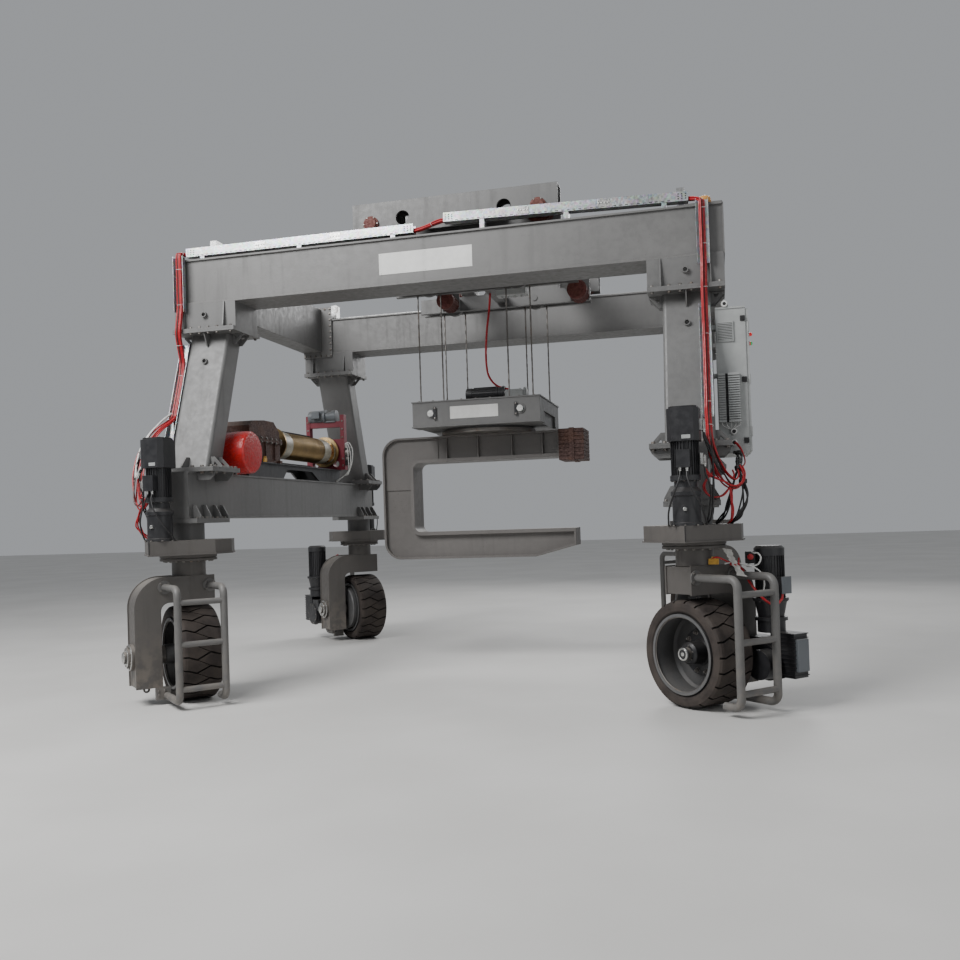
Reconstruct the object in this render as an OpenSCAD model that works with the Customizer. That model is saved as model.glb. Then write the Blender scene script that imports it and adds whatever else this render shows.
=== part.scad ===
// Rubber tyred gantry crane with a rotating coil hook.
// X runs along the girders, Y along the sills, Z up; the floor is z = 0.

/* [Wheels] */
// Outer diameter of the solid tyre
tyre_d = 1016; // [900:1:1120]
// Width of the tyre
tyre_w = 440; // [340:1:450]
// Outer diameter of the steel rim under the tyre
rim_d = 762; // [700:1:800]
// Wall of the rim barrel
rim_wall = 20; // [12:1:30]
// Number of grooves round the tread
lug_count = 22; // [12:1:30]
// Width of a tread groove
groove_w = 19; // [10:1:28]
// Depth of a tread groove
groove_depth = 26; // [10:1:40]
// Radius of the wheel axle
axle_r = 60; // [40:1:75]

/* [Wheel corners] */
// Distance of a steering pin from the crane's middle, along the girders
pin_x = 2685; // [2500:1:2900]
// Distance of a steering pin from the crane's middle, along the sills
pin_y = 2550; // [2400:1:2700]
// Angle to which the four wheels are turned
steer_angle = 46; // [0:1:90]
// Outer face of the arm, from the steering pin
arm_out = 620; // [560:1:680]
// Inner face of the arm, from the steering pin
arm_in = 348; // [330:1:400]
// Length of the top arm past the steering pin
arm_reach = 225; // [185:1:300]
// Depth of the arm in the rolling direction
arm_depth = 350; // [250:1:420]
// Underside of the top arm above the tyre
arm_gap = 49; // [20:1:90]
// Height of the top arm
arm_h = 275; // [200:1:340]
// Lower end of the arm above the floor
arm_foot = 185; // [120:1:260]
// Outer radius of the arm's shoulder
arm_round = 330; // [200:1:400]
// Radius of the steering column
column_r = 177; // [140:1:220]
// Length of the column between the arm and the slewing ring
column_h = 160; // [100:1:220]
// Radius of the steering pin
pin_r = 90; // [60:1:120]
// Height of the slewing ring
ring_h = 66; // [40:1:90]
// Height of the steering gear cover
cover_h = 155; // [110:1:200]
// Half width of the steering gear cover
cover_half = 450; // [400:1:520]
// Cover's front corner from the axis of the steering drive
cover_lip = 188; // [160:1:240]
// Angle by which cover and drive swing from the sill's line
cover_swing = 5; // [-12:1:12]
// Clear distance from the sill's end to the axis of the steering drive
drive_gap = 237; // [220:1:280]

/* [Tyre guards] */
// Diameter of the guard tube
guard_tube = 76; // [50:1:90]
// Distance of the guard from the wheel's middle
guard_out = 680; // [620:1:760]
// Distance between the two upright tubes
guard_w = 474; // [380:1:560]
// Shift of the guard towards the arm
guard_shift = 70; // [0:1:120]
// Height of the upper tube bends
guard_top = 1231; // [1150:1:1290]
// Height of the lower tube bends
guard_low = 92; // [70:1:140]

/* [Sills and legs] */
// Width of a sill beam
sill_w = 340; // [280:1:400]
// Height of a sill beam
sill_h = 505; // [400:1:600]
// Length of a sill past the steering pin
sill_over = 230; // [190:1:330]
// Thickness of the column head plate
head_t = 50; // [30:1:60]
// Height of the column between gear cover and head plate
head_h = 178; // [120:1:240]
// Width of a leg along the girders
leg_w = 480; // [400:1:540]
// Depth of a leg along the sills
leg_d = 320; // [260:1:400]
// Distance of the leg's foot from the crane's middle
leg_foot_y = 2355; // [2300:1:2420]
// Length of the leg between its end plates
leg_h = 1595; // [1400:1:1900]
// Radius of the leg's bent corners
leg_round = 42; // [20:1:70]
// Thickness of each flange plate
flange_t = 25; // [16:1:40]
// Width of the flange plates along the girders
flange_x = 766; // [700:1:800]
// Width of the flange plates along the sills
flange_y = 604; // [560:1:700]

/* [Girders] */
// Distance of each girder from the crane's middle
girder_y = 1793; // [1750:1:1850]
// Overhang of a girder past its saddle's flange plates
girder_lip = 10; // [0:1:120]
// Height of a girder
girder_h = 518; // [450:1:600]
// Width of the girder's flanges
girder_w = 530; // [480:1:580]
// Width over the girder's webs
girder_web = 486; // [380:1:500]
// Thickness of the girder's flanges
girder_flange = 20; // [14:1:30]
// Height of the saddle under a girder, with its flange plate
saddle_h = 288; // [240:1:340]
// Width of an end beam
end_beam_w = 298; // [240:1:320]
// Height of the crane rail
rail_h = 60; // [40:1:80]

/* [Trolley] */
// Middle of the trolley along the girders
trolley_x = 240; // [-300:1:300]
// Length of the trolley's side frames
trolley_len = 2310; // [2200:1:2500]
// Height of the trolley's side frames
trolley_h = 336; // [300:1:380]
// Diameter of the trolley's wheels
trolley_wheel_d = 320; // [280:1:340]
// Distance between the trolley's wheel axles
trolley_base = 1880; // [1700:1:1980]
// Underside of the hoist frame below the rail head
hoist_drop = 350; // [280:1:400]

/* [Spreader] */
// Middle of the spreader along the girders
spreader_x = 117; // [0:1:220]
// Length of the spreader beam
spreader_len = 1611; // [1540:1:1700]
// Width of the spreader beam
spreader_w = 1380; // [1340:1:1460]
// Height of the spreader beam
spreader_h = 320; // [300:1:360]
// Underside of the spreader beam above the floor
spreader_z = 2985; // [2900:1:3100]
// Distance of each sheave pin from the spreader's middle
sheave_x = 558; // [500:1:600]
// Distance of each sheave from the spreader's side
sheave_in = 90; // [70:1:140]
// Diameter to the middle of the rope on a sheave
sheave_d = 292; // [240:1:300]
// Diameter of the hoist rope
rope_d = 20; // [14:1:26]

/* [Coil hook] */
// Thickness of the coil hook
hook_t = 400; // [300:1:460]
// Back of the hook from its turning axis
hook_back = 1380; // [1250:1:1400]
// Tip of the lower arm from the turning axis
hook_tip = 1105; // [1000:1:1200]
// Depth of the hook's back
hook_spine = 413; // [340:1:460]
// Height of the upper arm
hook_top_h = 331; // [300:1:400]
// Height of the throat
throat_h = 884; // [800:1:950]
// Height of the lower arm
hook_low_h = 345; // [260:1:380]
// Radius of the hook's outer corners
hook_round = 225; // [120:1:260]
// Radius of the throat's corners
throat_round = 85; // [40:1:120]
// Diameter of the turntable
turntable_d = 1200; // [1000:1:1300]

/* [Winch] */
// Radius of the rope drum
drum_r = 178; // [140:1:190]
// Length of the rope drum
drum_len = 1780; // [1600:1:1800]
// Height of the drum axis above the sill
drum_up = 452; // [420:1:520]
// Radius of the winch motor cover
motor_r = 252; // [200:1:254]

/* [Cabinet] */
// Width of the electrical cabinet
cabinet_w = 289; // [240:1:320]
// Depth of the electrical cabinet
cabinet_d = 750; // [600:1:900]
// Height of the electrical cabinet
cabinet_h = 1462; // [1300:1:1500]
// Gap between the right leg and the cabinet
cabinet_gap = 34; // [20:1:60]
// Underside of the cabinet below the top of the sill
cabinet_drop = 42; // [0:1:90]
// Thickness of the cabinet door
door_t = 25; // [16:1:40]

/* [Hidden] */
$fn = 48;
paint = [0.46, 0.46, 0.45];
galvanised = [0.82, 0.84, 0.85];
black = [0.13, 0.13, 0.14];
rubber = [0.24, 0.20, 0.18];
cable_red = [0.75, 0.08, 0.08];
// Running gap between parts that turn on each other
run_gap = 0.3;
// Gap between parts of one body that rest on each other
seat = 0.1;
// Side of each corner: front left, front right, back left, back right
side_x = [-1, 1, -1, 1];
side_y = [-1, -1, 1, 1];
// A corner whose arm carries the travel drive is the mirror of the others
driven = [false, true, true, false];
hub_z = tyre_d / 2;
arm_under = tyre_d + arm_gap;
arm_top = arm_under + arm_h;
ring_z = arm_top + column_h;
cover_z = ring_z + ring_h + run_gap;
cover_top = cover_z + cover_h;
head_z = cover_top + head_h;
sill_z = head_z + head_t;
sill_top = sill_z + sill_h;
foot_z = sill_top + 2 * flange_t;
leg_top = foot_z + leg_h;
saddle_z = leg_top + flange_t;
girder_z = saddle_z + saddle_h;
girder_top = girder_z + girder_h;
rail_top = girder_top + rail_h;
sill_half = pin_y + sill_over;
drive_out = sill_over + drive_gap;
cover_nose = drive_out + cover_lip;
girder_half = pin_x + flange_x / 2 + girder_lip;
end_beam_x = girder_half - end_beam_w / 2;
sheave_y = spreader_w / 2 - sheave_in;

// Carries its children to a wheel corner, turned with the wheel; the arm lies towards -X
module corner(i) {
    translate([side_x[i] * pin_x, side_y[i] * pin_y, 0])
        rotate([0, 0, steer_angle + (side_x[i] > 0 ? 180 : 0)])
            mirror([0, driven[i] ? 1 : 0, 0])
                children();
}

// Carries its children to a corner's fixed frame, with -Y pointing out of the crane
module fixed_corner(i) {
    translate([side_x[i] * pin_x, side_y[i] * pin_y, 0])
        mirror([0, side_y[i] > 0 ? 1 : 0, 0])
            children();
}

// A box given by its lowest and highest corner
module block(lo, hi) {
    translate(lo) cube(hi - lo);
}

// A plate drawn in the XZ plane and centred on y = 0
module plate_xz(t) {
    translate([0, t / 2, 0]) rotate([90, 0, 0]) linear_extrude(t) children();
}

// A plate drawn in the YZ plane and centred on x = 0
module plate_yz(t) {
    rotate([90, 0, 90]) translate([0, 0, -t / 2]) linear_extrude(t) children();
}

// A cylinder along Y between two values of y
module rod_y(r, y0, y1) {
    translate([0, y1, 0]) rotate([90, 0, 0]) cylinder(r = r, h = y1 - y0);
}

// A cylinder along X between two values of x
module rod_x(r, x0, x1) {
    translate([x0, 0, 0]) rotate([0, 90, 0]) cylinder(r = r, h = x1 - x0);
}

// A rectangle centred on the origin with rounded corners
module rounded(w, h, r) {
    square([w - 2 * r, h], center = true);
    square([w, h - 2 * r], center = true);
    for (x = [-1, 1], y = [-1, 1])
        translate([x * (w / 2 - r), y * (h / 2 - r)]) circle(r);
}

// A square centred on the origin with its corners cut off
module chamfered(w, c) {
    h = w / 2;
    polygon([[-h, c - h], [c - h, -h], [h - c, -h], [h, c - h], [h, h - c], [h - c, h], [c - h, h], [-h, h - c]]);
}

// A disc with fins round it
module finned(r, fin, count, t) {
    circle(r - fin);
    for (k = [0:count - 1])
        rotate(k * 360 / count) translate([0, -t / 2]) square([r, t]);
}

/* Tyre */
groove_line = [
    [-0.52, 0], [-0.36, 0], [-0.17, -30], [0.16, 42], [0.36, 12], [0.52, 14]
];
module groove() {
    half = groove_w / 2;
    up = [for (p = groove_line) [p[0] * tyre_w, p[1] + half]];
    down = [for (k = [len(groove_line) - 1:-1:0])
        [groove_line[k][0] * tyre_w, groove_line[k][1] - half]];
    translate([0, 0, tyre_d / 2 - groove_depth])
        linear_extrude(2 * groove_depth) polygon(concat(up, down));
}

// A short diagonal groove from the dip of one zigzag to the peak of the next
lug_pitch = PI * tyre_d / lug_count;
dip = groove_line[2];
peak = groove_line[3];
link_mid = (dip[1] + lug_pitch + peak[1]) / 2;
module link_groove() {
    half = groove_w * 0.42;
    lift = (lug_pitch + dip[1] - peak[1]) / 2;
    translate([0, 0, tyre_d / 2 - groove_depth]) linear_extrude(2 * groove_depth) polygon([
        [dip[0] * tyre_w - half, lift], [dip[0] * tyre_w + half, lift],
        [peak[0] * tyre_w + half, -lift], [peak[0] * tyre_w - half, -lift]
    ]);
}

module tyre_profile() {
    r = tyre_d / 2;
    half = tyre_w / 2;
    polygon([
        [rim_d / 2, -half + 22], [rim_d / 2 + 30, -half + 4], [r - 62, -half],
        [r - 26, -half + 6], [r - 7, -half + 24], [r, -half + 50],
        [r, half - 50], [r - 7, half - 24], [r - 26, half - 6],
        [r - 62, half], [rim_d / 2 + 30, half - 4], [rim_d / 2, half - 22]
    ]);
}

module tyre_ring() {
    difference() {
        rotate([0, 90, 0]) rotate_extrude($fn = 96) tyre_profile();
        for (k = [0:lug_count - 1])
            rotate([(k + 0.5) * 360 / lug_count, 0, 0]) {
                groove();
                rotate([-link_mid * 360 / (PI * tyre_d), 0, 0]) link_groove();
            }
    }
}

module tyre_at(i) {
    color(rubber) corner(i) translate([0, 0, hub_z]) tyre_ring();
}

/* Rim */
hub_r = 105;
web_x = -70;
web_t = 24;
lip_h = 26;
drum_case_r = 330;
drum_case_x = -tyre_w / 2 - 66;
hub_front = 160;

bolt_circle = 190;
hole_circle = 232;
hand_hole_r = 48;
module rim_profile() {
    r = rim_d / 2;
    inner = r - rim_wall;
    half = tyre_w / 2;
    bore = axle_r + run_gap;
    face = web_x + web_t / 2;
    back = web_x - web_t / 2;
    // Barrel with a lip at each end
    polygon([
        [r, -half], [r, half], [inner - 8, half], [inner - 8, half - lip_h], [inner, half - lip_h - 12],
        [inner, face + 30], [inner - 22, face], [inner - 22, back], [inner, back - 22],
        [inner, -half + lip_h + 12], [inner - 8, -half + lip_h], [inner - 8, -half]
    ]);
    // Web and hub
    polygon([
        [inner - 21, back], [inner - 21, face], [bolt_circle + 38, face], [bolt_circle + 34, face + 12],
        [hub_r + 22, face + 12], [hub_r, face + 34], [hub_r, hub_front - 46], [hub_r - 22, hub_front - 24],
        [bore, hub_front - 24], [bore, drum_case_x], [hub_r, drum_case_x], [hub_r, back - 26], [hub_r + 26, back]
    ]);
}

// The brake and gear drum inside a driven wheel
module drum_case() {
    polygon([
        [hub_r - 1, drum_case_x], [drum_case_r - 12, drum_case_x], [drum_case_r, drum_case_x + 12],
        [drum_case_r, web_x], [drum_case_r - 18, web_x], [drum_case_r - 18, drum_case_x + 20], [hub_r - 1, drum_case_x + 20]
    ]);
}

module rim_body(with_drum) {
    face = web_x + web_t / 2;
    difference() {
        rotate([0, 90, 0]) rotate_extrude($fn = 96) {
            rim_profile();
            if (with_drum) drum_case();
        }
        if (!with_drum)
            for (k = [0:5])
                rotate([k * 60, 0, 0]) translate([0, 0, hole_circle + hand_hole_r])
                    rod_x(hand_hole_r, web_x - web_t, face + web_t);
    }
    for (k = [0:9])
        rotate([k * 36 + 18, 0, 0]) translate([0, 0, bolt_circle]) rod_x(14, face + 11, face + 32);
}

module rim_at(i) {
    color([0.42, 0.42, 0.42]) corner(i) translate([0, 0, hub_z]) rim_body(driven[i]);
}

/* Arm */
inner_round = 90;
plate_proud = 10;
side_t = 20;
// Side view of the arm, drawn smaller all round by an inset
module arm_outline(inset = 0) {
    out = arm_out - inset;
    top = arm_top - inset;
    r = arm_round - inset;
    inner = arm_in + inset;
    under = arm_under + inset;
    reach = arm_reach - inset;
    fillet = inner_round + inset;
    difference() {
        union() {
            translate([-out + r, top - r]) circle(r, $fn = 96);
            translate([-out, arm_foot + inset]) square([out - inner, top - r - arm_foot - inset]);
            translate([-out + r, under]) square([out - r + reach, top - under]);
            translate([-inner - 1, under - fillet]) square([fillet + 1, fillet + 1]);
        }
        translate([-inner + fillet, 0]) square([out + reach, under]);
        translate([-inner, 0]) square([out + reach, under - fillet]);
        translate([-inner + fillet, under - fillet]) circle(fillet);
    }
}

cap_r = 138;
eye_x = -480;
eye_r = 34;
axle_end = hub_front + 14;
module slewing_ring() {
    rotate_extrude($fn = 96) polygon([
        [0, ring_z], [300, ring_z], [300, ring_z + 24], [288, ring_z + 27], [288, ring_z + 31],
        [300, ring_z + 34], [300, ring_z + ring_h], [0, ring_z + ring_h]
    ]);
}

module arm_body() {
    for (y = [-1, 1])
        translate([0, y * (arm_depth - side_t) / 2, 0]) plate_xz(side_t) arm_outline();
    plate_xz(arm_depth - side_t) arm_outline(plate_proud);
    translate([0, 0, arm_top - plate_proud - 1]) cylinder(r = column_r, h = column_h + plate_proud + 2);
    slewing_ring();
    translate([0, 0, ring_z + ring_h - 1]) cylinder(r = pin_r, h = 110);
    // Ring eye under the foot
    plate_xz(26) difference() {
        union() {
            translate([eye_x, arm_foot - eye_r]) circle(eye_r);
            translate([eye_x - eye_r, arm_foot - eye_r]) square([2 * eye_r, eye_r + plate_proud + 1]);
        }
        translate([eye_x, arm_foot - eye_r]) circle(eye_r / 2);
    }
    translate([0, 0, hub_z]) {
        rod_x(axle_r, -arm_in - plate_proud - 1, axle_end);
        rod_x(hub_r - 8, -arm_in - plate_proud - 1, drum_case_x - 2);
        rod_x(cap_r, -arm_out - 26, -arm_out + plate_proud + 1);
        rod_x(cap_r - 32, -arm_out - 58, -arm_out - 25);
        rod_x(62, -arm_out - 85, -arm_out - 57);
        rod_x(56, hub_front + 1, axle_end + 12);
    }
}

module arm_at(i) {
    color([0.40, 0.39, 0.38]) corner(i) arm_body();
}

/* Guard */
function guard_xs() = [-guard_shift - guard_w / 2, -guard_shift + guard_w / 2];
bend_r = 85;
// A quarter bend of tube in the YZ plane, from -Z round to +Y
module bend(r) {
    rotate([0, 90, 0]) rotate_extrude(angle = 90, $fn = 32) translate([bend_r, 0]) circle(r, $fn = 16);
}

module guard_upright(x, low_y) {
    r = guard_tube / 2;
    translate([x, -guard_out, 0]) {
        translate([0, 0, guard_low + bend_r]) cylinder(r = r, h = guard_top - guard_low - 2 * bend_r, $fn = 24);
        translate([0, bend_r, guard_top - bend_r]) rotate([180, 0, 0]) bend(r);
        translate([0, bend_r, guard_low + bend_r]) rotate([-90, 0, 0]) bend(r);
    }
    translate([x, 0, guard_top]) rod_y(r, -guard_out + bend_r, -arm_depth / 2 - 16);
    translate([x, 0, guard_low]) rod_y(r, -guard_out + bend_r, low_y);
    translate([x, 0, guard_top]) rod_y(70, -arm_depth / 2 - 16, -arm_depth / 2);
}

rung_z = [216, 668, 1092];
module guard_body() {
    r = guard_tube / 2;
    xs = guard_xs();
    foot_y = -arm_depth / 2 + 60;
    guard_upright(xs[0], foot_y);
    guard_upright(xs[1], -guard_out + 190);
    for (z = rung_z)
        translate([0, -guard_out, z]) rod_x(r * 0.8, xs[0], xs[1]);
    block([-arm_in - 70, foot_y - 60, guard_low - r], [xs[0] + r, foot_y, arm_foot]);
}

module guard_at(i) {
    color([0.52, 0.51, 0.50]) corner(i) guard_body();
}

/* Travel drive */
travel_x = -560;
travel_y = -413;
travel_r = 137;
travel_z = 412;
fin_h = 12;
module travel_drive() {
    translate([travel_x, travel_y, 0]) {
        // Finned motor with its fan cowl
        translate([0, 0, 1010]) linear_extrude(400) finned(travel_r, fin_h, 28, 5);
        translate([0, 0, 1409]) cylinder(r = travel_r + 3, h = 70);
        translate([0, 0, 1478]) cylinder(r1 = travel_r + 3, r2 = travel_r - 22, h = 24);
        block([-60, -travel_r - 52, 1060], [60, -travel_r + 20, 1210]);
        // Flanges and the cone down to the gear case
        translate([0, 0, 985]) cylinder(r = 165, h = 26);
        translate([0, 0, 830]) cylinder(r1 = 118, r2 = 150, h = 156);
        translate([0, 0, 800]) cylinder(r = 150, h = 31);
        translate([0, 0, 690]) cylinder(r = 128, h = 111);
        translate([0, 0, travel_z]) {
            rod_x(165, -110, 110);
            rod_x(178, -74, -50);
            rod_x(178, 50, 74);
        }
        translate([0, -77, travel_z]) rod_x(140, 150, 290);
        translate([0, -77, travel_z]) rod_x(60, 80, 160);
        // Ribbed box on the outer side
        block([-90, -330, 290], [90, -60, 700]);
        for (z = [310:38:690])
            block([-98, -340, z], [98, -100, z + 9]);
        block([-100, 0, 470], [100, -travel_y - arm_depth / 2, 640]);
    }
}

module travel_at(i) {
    color(black) corner(i) travel_drive();
}

/* Steering */
module cover_outline(grow = 0) {
    h = cover_half + grow;
    nose = cover_nose + grow;
    tail = 430 + grow;
    polygon([[0, -nose], [h, -150], [h, 150], [300, tail], [-300, tail], [-h, 150], [-h, -150]]);
}

lip_t = 14;
seam_w = 4;
// The cover is two halves that meet in a seam at the nose, with a lip plate round the foot
module gear_cover() {
    difference() {
        union() {
            translate([0, 0, cover_z + lip_t]) linear_extrude(cover_h - lip_t) cover_outline();
            translate([0, 0, cover_z]) linear_extrude(lip_t) cover_outline(14);
        }
        translate([0, 0, cover_z - 1]) cylinder(r = pin_r + run_gap, h = 116);
        block([-seam_w / 2, -cover_nose - 20, cover_z + lip_t], [seam_w / 2, -cover_nose + 60, cover_z + cover_h + 1]);
    }
}

module gear_covers() {
    color(paint) for (i = [0:3]) fixed_corner(i) rotate([0, 0, -cover_swing]) gear_cover();
}

body_r = 140;
motor_side = 285;
module steering_drive() {
    translate([0, -drive_out, cover_top]) {
        rotate_extrude() polygon([
            [0, 0], [body_r, 0], [body_r, 26], [body_r - 12, 30], [body_r - 12, 268], [body_r, 272], [body_r, 306],
            [118, 330], [105, 345], [105, 400], [body_r, 406], [body_r, 454], [0, 454]
        ]);
        translate([0, 0, 453]) linear_extrude(308) finned(128, fin_h, 28, 5);
        translate([0, 0, 760]) linear_extrude(296) chamfered(motor_side, 44);
        translate([0, 0, 1055]) linear_extrude(20) chamfered(motor_side - 36, 40);
        // Terminal box on the outer side
        block([-62, -body_r - 40, 520], [62, -90, 680]);
    }
}

module steering_drives() {
    color(black) for (i = [0:3]) fixed_corner(i) rotate([0, 0, -cover_swing]) steering_drive();
}

/* Sills */
head_x = 262;
head_in = 450;
rib_t = 14;
lip = 12;
module head_rib() {
    plate_xz(rib_t) polygon([
        [sill_w / 2 - lip, 0], [head_x - 6, 0], [head_x - 6, 30], [sill_w / 2 + 26, 140], [sill_w / 2 - lip, 150]
    ]);
}

corbel_h = 92;
module corbel() {
    w = (flange_x - sill_w) / 2;
    plate_xz(rib_t) translate([sill_w / 2, 0]) polygon([
        [-lip, 0], [w, 0], [w - 20, -45], [w - 70, -corbel_h], [-lip, -corbel_h]
    ]);
}

module sill_end() {
    translate([0, 0, cover_top + seat]) cylinder(r = column_r, h = head_h - seat);
    block([-head_x, -sill_over - lip, head_z], [head_x, head_in, sill_z]);
    for (s = [0, 1], y = [-150, 60, 270, head_in - 20])
        mirror([s, 0, 0]) translate([0, y, sill_z]) head_rib();
    for (s = [0, 1], y = [-240, 150])
        mirror([s, 0, 0]) translate([0, pin_y - leg_foot_y + y, sill_top]) corbel();
    translate([0, pin_y - leg_foot_y, sill_top])
        block([-flange_x / 2, -flange_y / 2, 0], [flange_x / 2, flange_y / 2, flange_t]);
}

module sill(side) {
    w = sill_w / 2;
    edge = 18;
    // A box beam whose upper and lower plates stand proud of the side plates
    translate([side * pin_x, 0, 0]) plate_xz(2 * sill_half) polygon([
        [-w, sill_z], [w, sill_z], [w, sill_z + edge], [w - lip, sill_z + edge],
        [w - lip, sill_top - edge], [w, sill_top - edge], [w, sill_top], [-w, sill_top],
        [-w, sill_top - edge], [lip - w, sill_top - edge], [lip - w, sill_z + edge], [-w, sill_z + edge]
    ]);
    for (i = [0:3])
        if (side_x[i] == side) fixed_corner(i) sill_end();
}

/* Legs */
gusset_h = 118;
module gusset(w, h) {
    difference() {
        polygon([[-20, 0], [w, 0], [w, 14], [w * 0.3, h], [-20, h]]);
        polygon([[w * 0.22, 22], [w * 0.62, 22], [w * 0.32, h * 0.55]]);
    }
}

module leg_gussets() {
    wx = (flange_x - leg_w) / 2;
    for (s = [0, 1])
        mirror([s, 0, 0]) translate([leg_w / 2, 0, 0]) plate_xz(rib_t) gusset(wx - 8, gusset_h);
}

top_half_y = 320;
stub_r = 32;
stub_bore = 22;
// A short pipe stub that points out of the crane
module stub(y_face) {
    difference() {
        rod_y(stub_r, y_face - 34, y_face + 2);
        rod_y(stub_bore, y_face - 35, y_face - 4);
    }
}

// The leaning box of a leg between two levels, with its corners bent round
function leg_lean() = atan2(leg_foot_y - girder_y, leg_h - flange_t);
module leg_box(z0, z1) {
    lean = leg_lean();
    foot_y = pin_y - leg_foot_y;
    reach = 2 * leg_d;
    intersection() {
        translate([0, foot_y, foot_z]) rotate([-lean, 0, 0]) translate([0, 0, -reach])
            linear_extrude((z1 - foot_z) / cos(lean) + 2 * reach) rounded(leg_w, leg_d * cos(lean), leg_round);
        block([-leg_w, -2 * pin_y, z0], [leg_w, 2 * pin_y, z1]);
    }
}

module leg_body() {
    top_y = pin_y - girder_y;
    foot_y = pin_y - leg_foot_y;
    plate_z = leg_top - flange_t;
    leg_box(foot_z, plate_z);
    translate([0, foot_y, foot_z - flange_t])
        block([-flange_x / 2, -flange_y / 2, 0], [flange_x / 2, flange_y / 2, flange_t]);
    translate([0, top_y, plate_z])
        block([-flange_x / 2, -top_half_y, 0], [flange_x / 2, top_half_y, flange_t]);
    for (y = [-75, 75])
        translate([0, foot_y + y, foot_z]) leg_gussets();
    slope = tan(leg_lean());
    // Gussets on the front and back faces follow the lean of the leg
    translate([0, foot_y - leg_d / 2, foot_z])
        plate_yz(rib_t) polygon([
            [20, 0], [-130, 0], [-130, 14], [-30, gusset_h], [slope * gusset_h + 20, gusset_h]
        ]);
    translate([0, top_y - leg_d / 2, plate_z])
        plate_yz(rib_t) polygon([
            [20, 0], [-140, 0], [-140, -14], [-slope * 150 - 20, -150], [20 - slope * 150, -150]
        ]);
    for (s = [0, 1], y = [-75, 75])
        mirror([s, 0, 0]) translate([leg_w / 2, top_y + y, plate_z])
            plate_xz(rib_t) mirror([0, 1]) gusset((flange_x - leg_w) / 2 - 8, gusset_h);
    stub_z = plate_z - 330;
    translate([0, 0, stub_z]) stub(top_y - 330 * slope - leg_d / 2);
}

module leg(i) {
    color([0.52, 0.52, 0.51]) fixed_corner(i) leg_body();
}

/* Saddles and girders */
saddle_rib = top_half_y - girder_w / 2 - 4;
// The ribs on the inner side stop below the joint plate
function saddle_rise(inside) = girder_z - saddle_z - inside * (joint_drop + 5);
module saddle() {
    block([-flange_x / 2, -top_half_y, leg_top], [flange_x / 2, top_half_y, saddle_z]);
    block([-flange_x / 2, -girder_w / 2, saddle_z], [flange_x / 2, girder_w / 2, girder_z]);
    for (x = [-247, 247], s = [0, 1])
        mirror([0, s, 0]) translate([x, girder_w / 2, saddle_z]) plate_yz(rib_t) polygon([
            [-1, 0], [saddle_rib, 0], [saddle_rib, 22], [12, saddle_rise(1 - s)], [-1, saddle_rise(1 - s)]
        ]);
    translate([0, 0, girder_z - 135]) stub(-girder_w / 2);
}

module saddle_blocks() {
    color(paint) for (i = [0:3])
        fixed_corner(i) translate([0, pin_y - girder_y, 0]) saddle();
}

module girder(side) {
    color(paint) translate([0, side * girder_y, 0]) {
        plate_yz(2 * girder_half - 30) polygon([
            [-girder_w / 2, girder_z], [girder_w / 2, girder_z],
            [girder_w / 2, girder_z + girder_flange], [girder_web / 2, girder_z + girder_flange],
            [girder_web / 2, girder_top - girder_flange], [girder_w / 2, girder_top - girder_flange],
            [girder_w / 2, girder_top], [-girder_w / 2, girder_top],
            [-girder_w / 2, girder_top - girder_flange], [-girder_web / 2, girder_top - girder_flange],
            [-girder_web / 2, girder_z + girder_flange], [-girder_w / 2, girder_z + girder_flange]
        ]);
        for (s = [-1, 1])
            translate([s * (girder_half - 7.5), 0, 0])
                block([-7.5, -girder_w / 2 + 8, girder_z], [7.5, girder_w / 2 - 8, girder_top]);
    }
}

joint_t = 20;
joint_drop = 57;
end_beam_z = [girder_z + 27, girder_top + 150];
module end_beams() {
    inner = girder_y - girder_w / 2;
    color(paint) for (s = [-1, 1]) {
        block([s * end_beam_x - end_beam_w / 2, -inner + joint_t, end_beam_z[0]],
              [s * end_beam_x + end_beam_w / 2, inner - joint_t, end_beam_z[1]]);
        for (e = [-1, 1])
            translate([s * (girder_half - 230), e * (inner - joint_t / 2), 0])
                block([-230, -joint_t / 2, girder_z - joint_drop], [230, joint_t / 2, girder_top + 180]);
    }
}

rail_end = 378;
module crane_rails() {
    color([0.35, 0.33, 0.32]) for (s = [-1, 1]) translate([0, s * girder_y, girder_top]) {
        half = girder_half - rail_end;
        block([-half, -30, 0], [half, 30, rail_h]);
        for (e = [-1, 1])
            block([e * (half - 40) - 40, -70, 0], [e * (half - 40) + 40, 70, rail_h + 190]);
    }
}

/* Cable trays */
tray_h = 97;
tray_d = 110;
tray_t = 4;
tray_lift = 30;
tray_face = girder_y + girder_w / 2;
tray_left = -girder_half + 175;
tray_right = girder_half - 208;
tray_gap = [-165, 175];
left_up = tray_left - 60;
tray_tilt = 1.4;
right_len = girder_half - tray_gap[1] - 338;
up_w = 124;
up_d = 60;
up_low = girder_z - 92;
up_high = girder_top + 26;
up_gap = 27;
lug_w = 40;
seat_gap = 0.6;
tray_rise = 108;
left_feet = [-2700, -1500, -400];
right_feet = [600, 1500, 2500];
leg_channel_w = 112;
left_push = up_d - 3;
right_push = 0;
left_x = -pin_x - leg_w / 2 - leg_channel_w / 2;
right_x = pin_x + 176;
// How far the sloping tray has come down at x
function tray_fall(x) = (x - tray_gap[1]) * tan(tray_tilt);
// An open channel along X, from the origin, with its open side up
module channel(len, w, h) {
    difference() {
        cube([len, w, h]);
        translate([-1, tray_t, tray_t]) cube([len + 2, w - 2 * tray_t, h]);
    }
}

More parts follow.
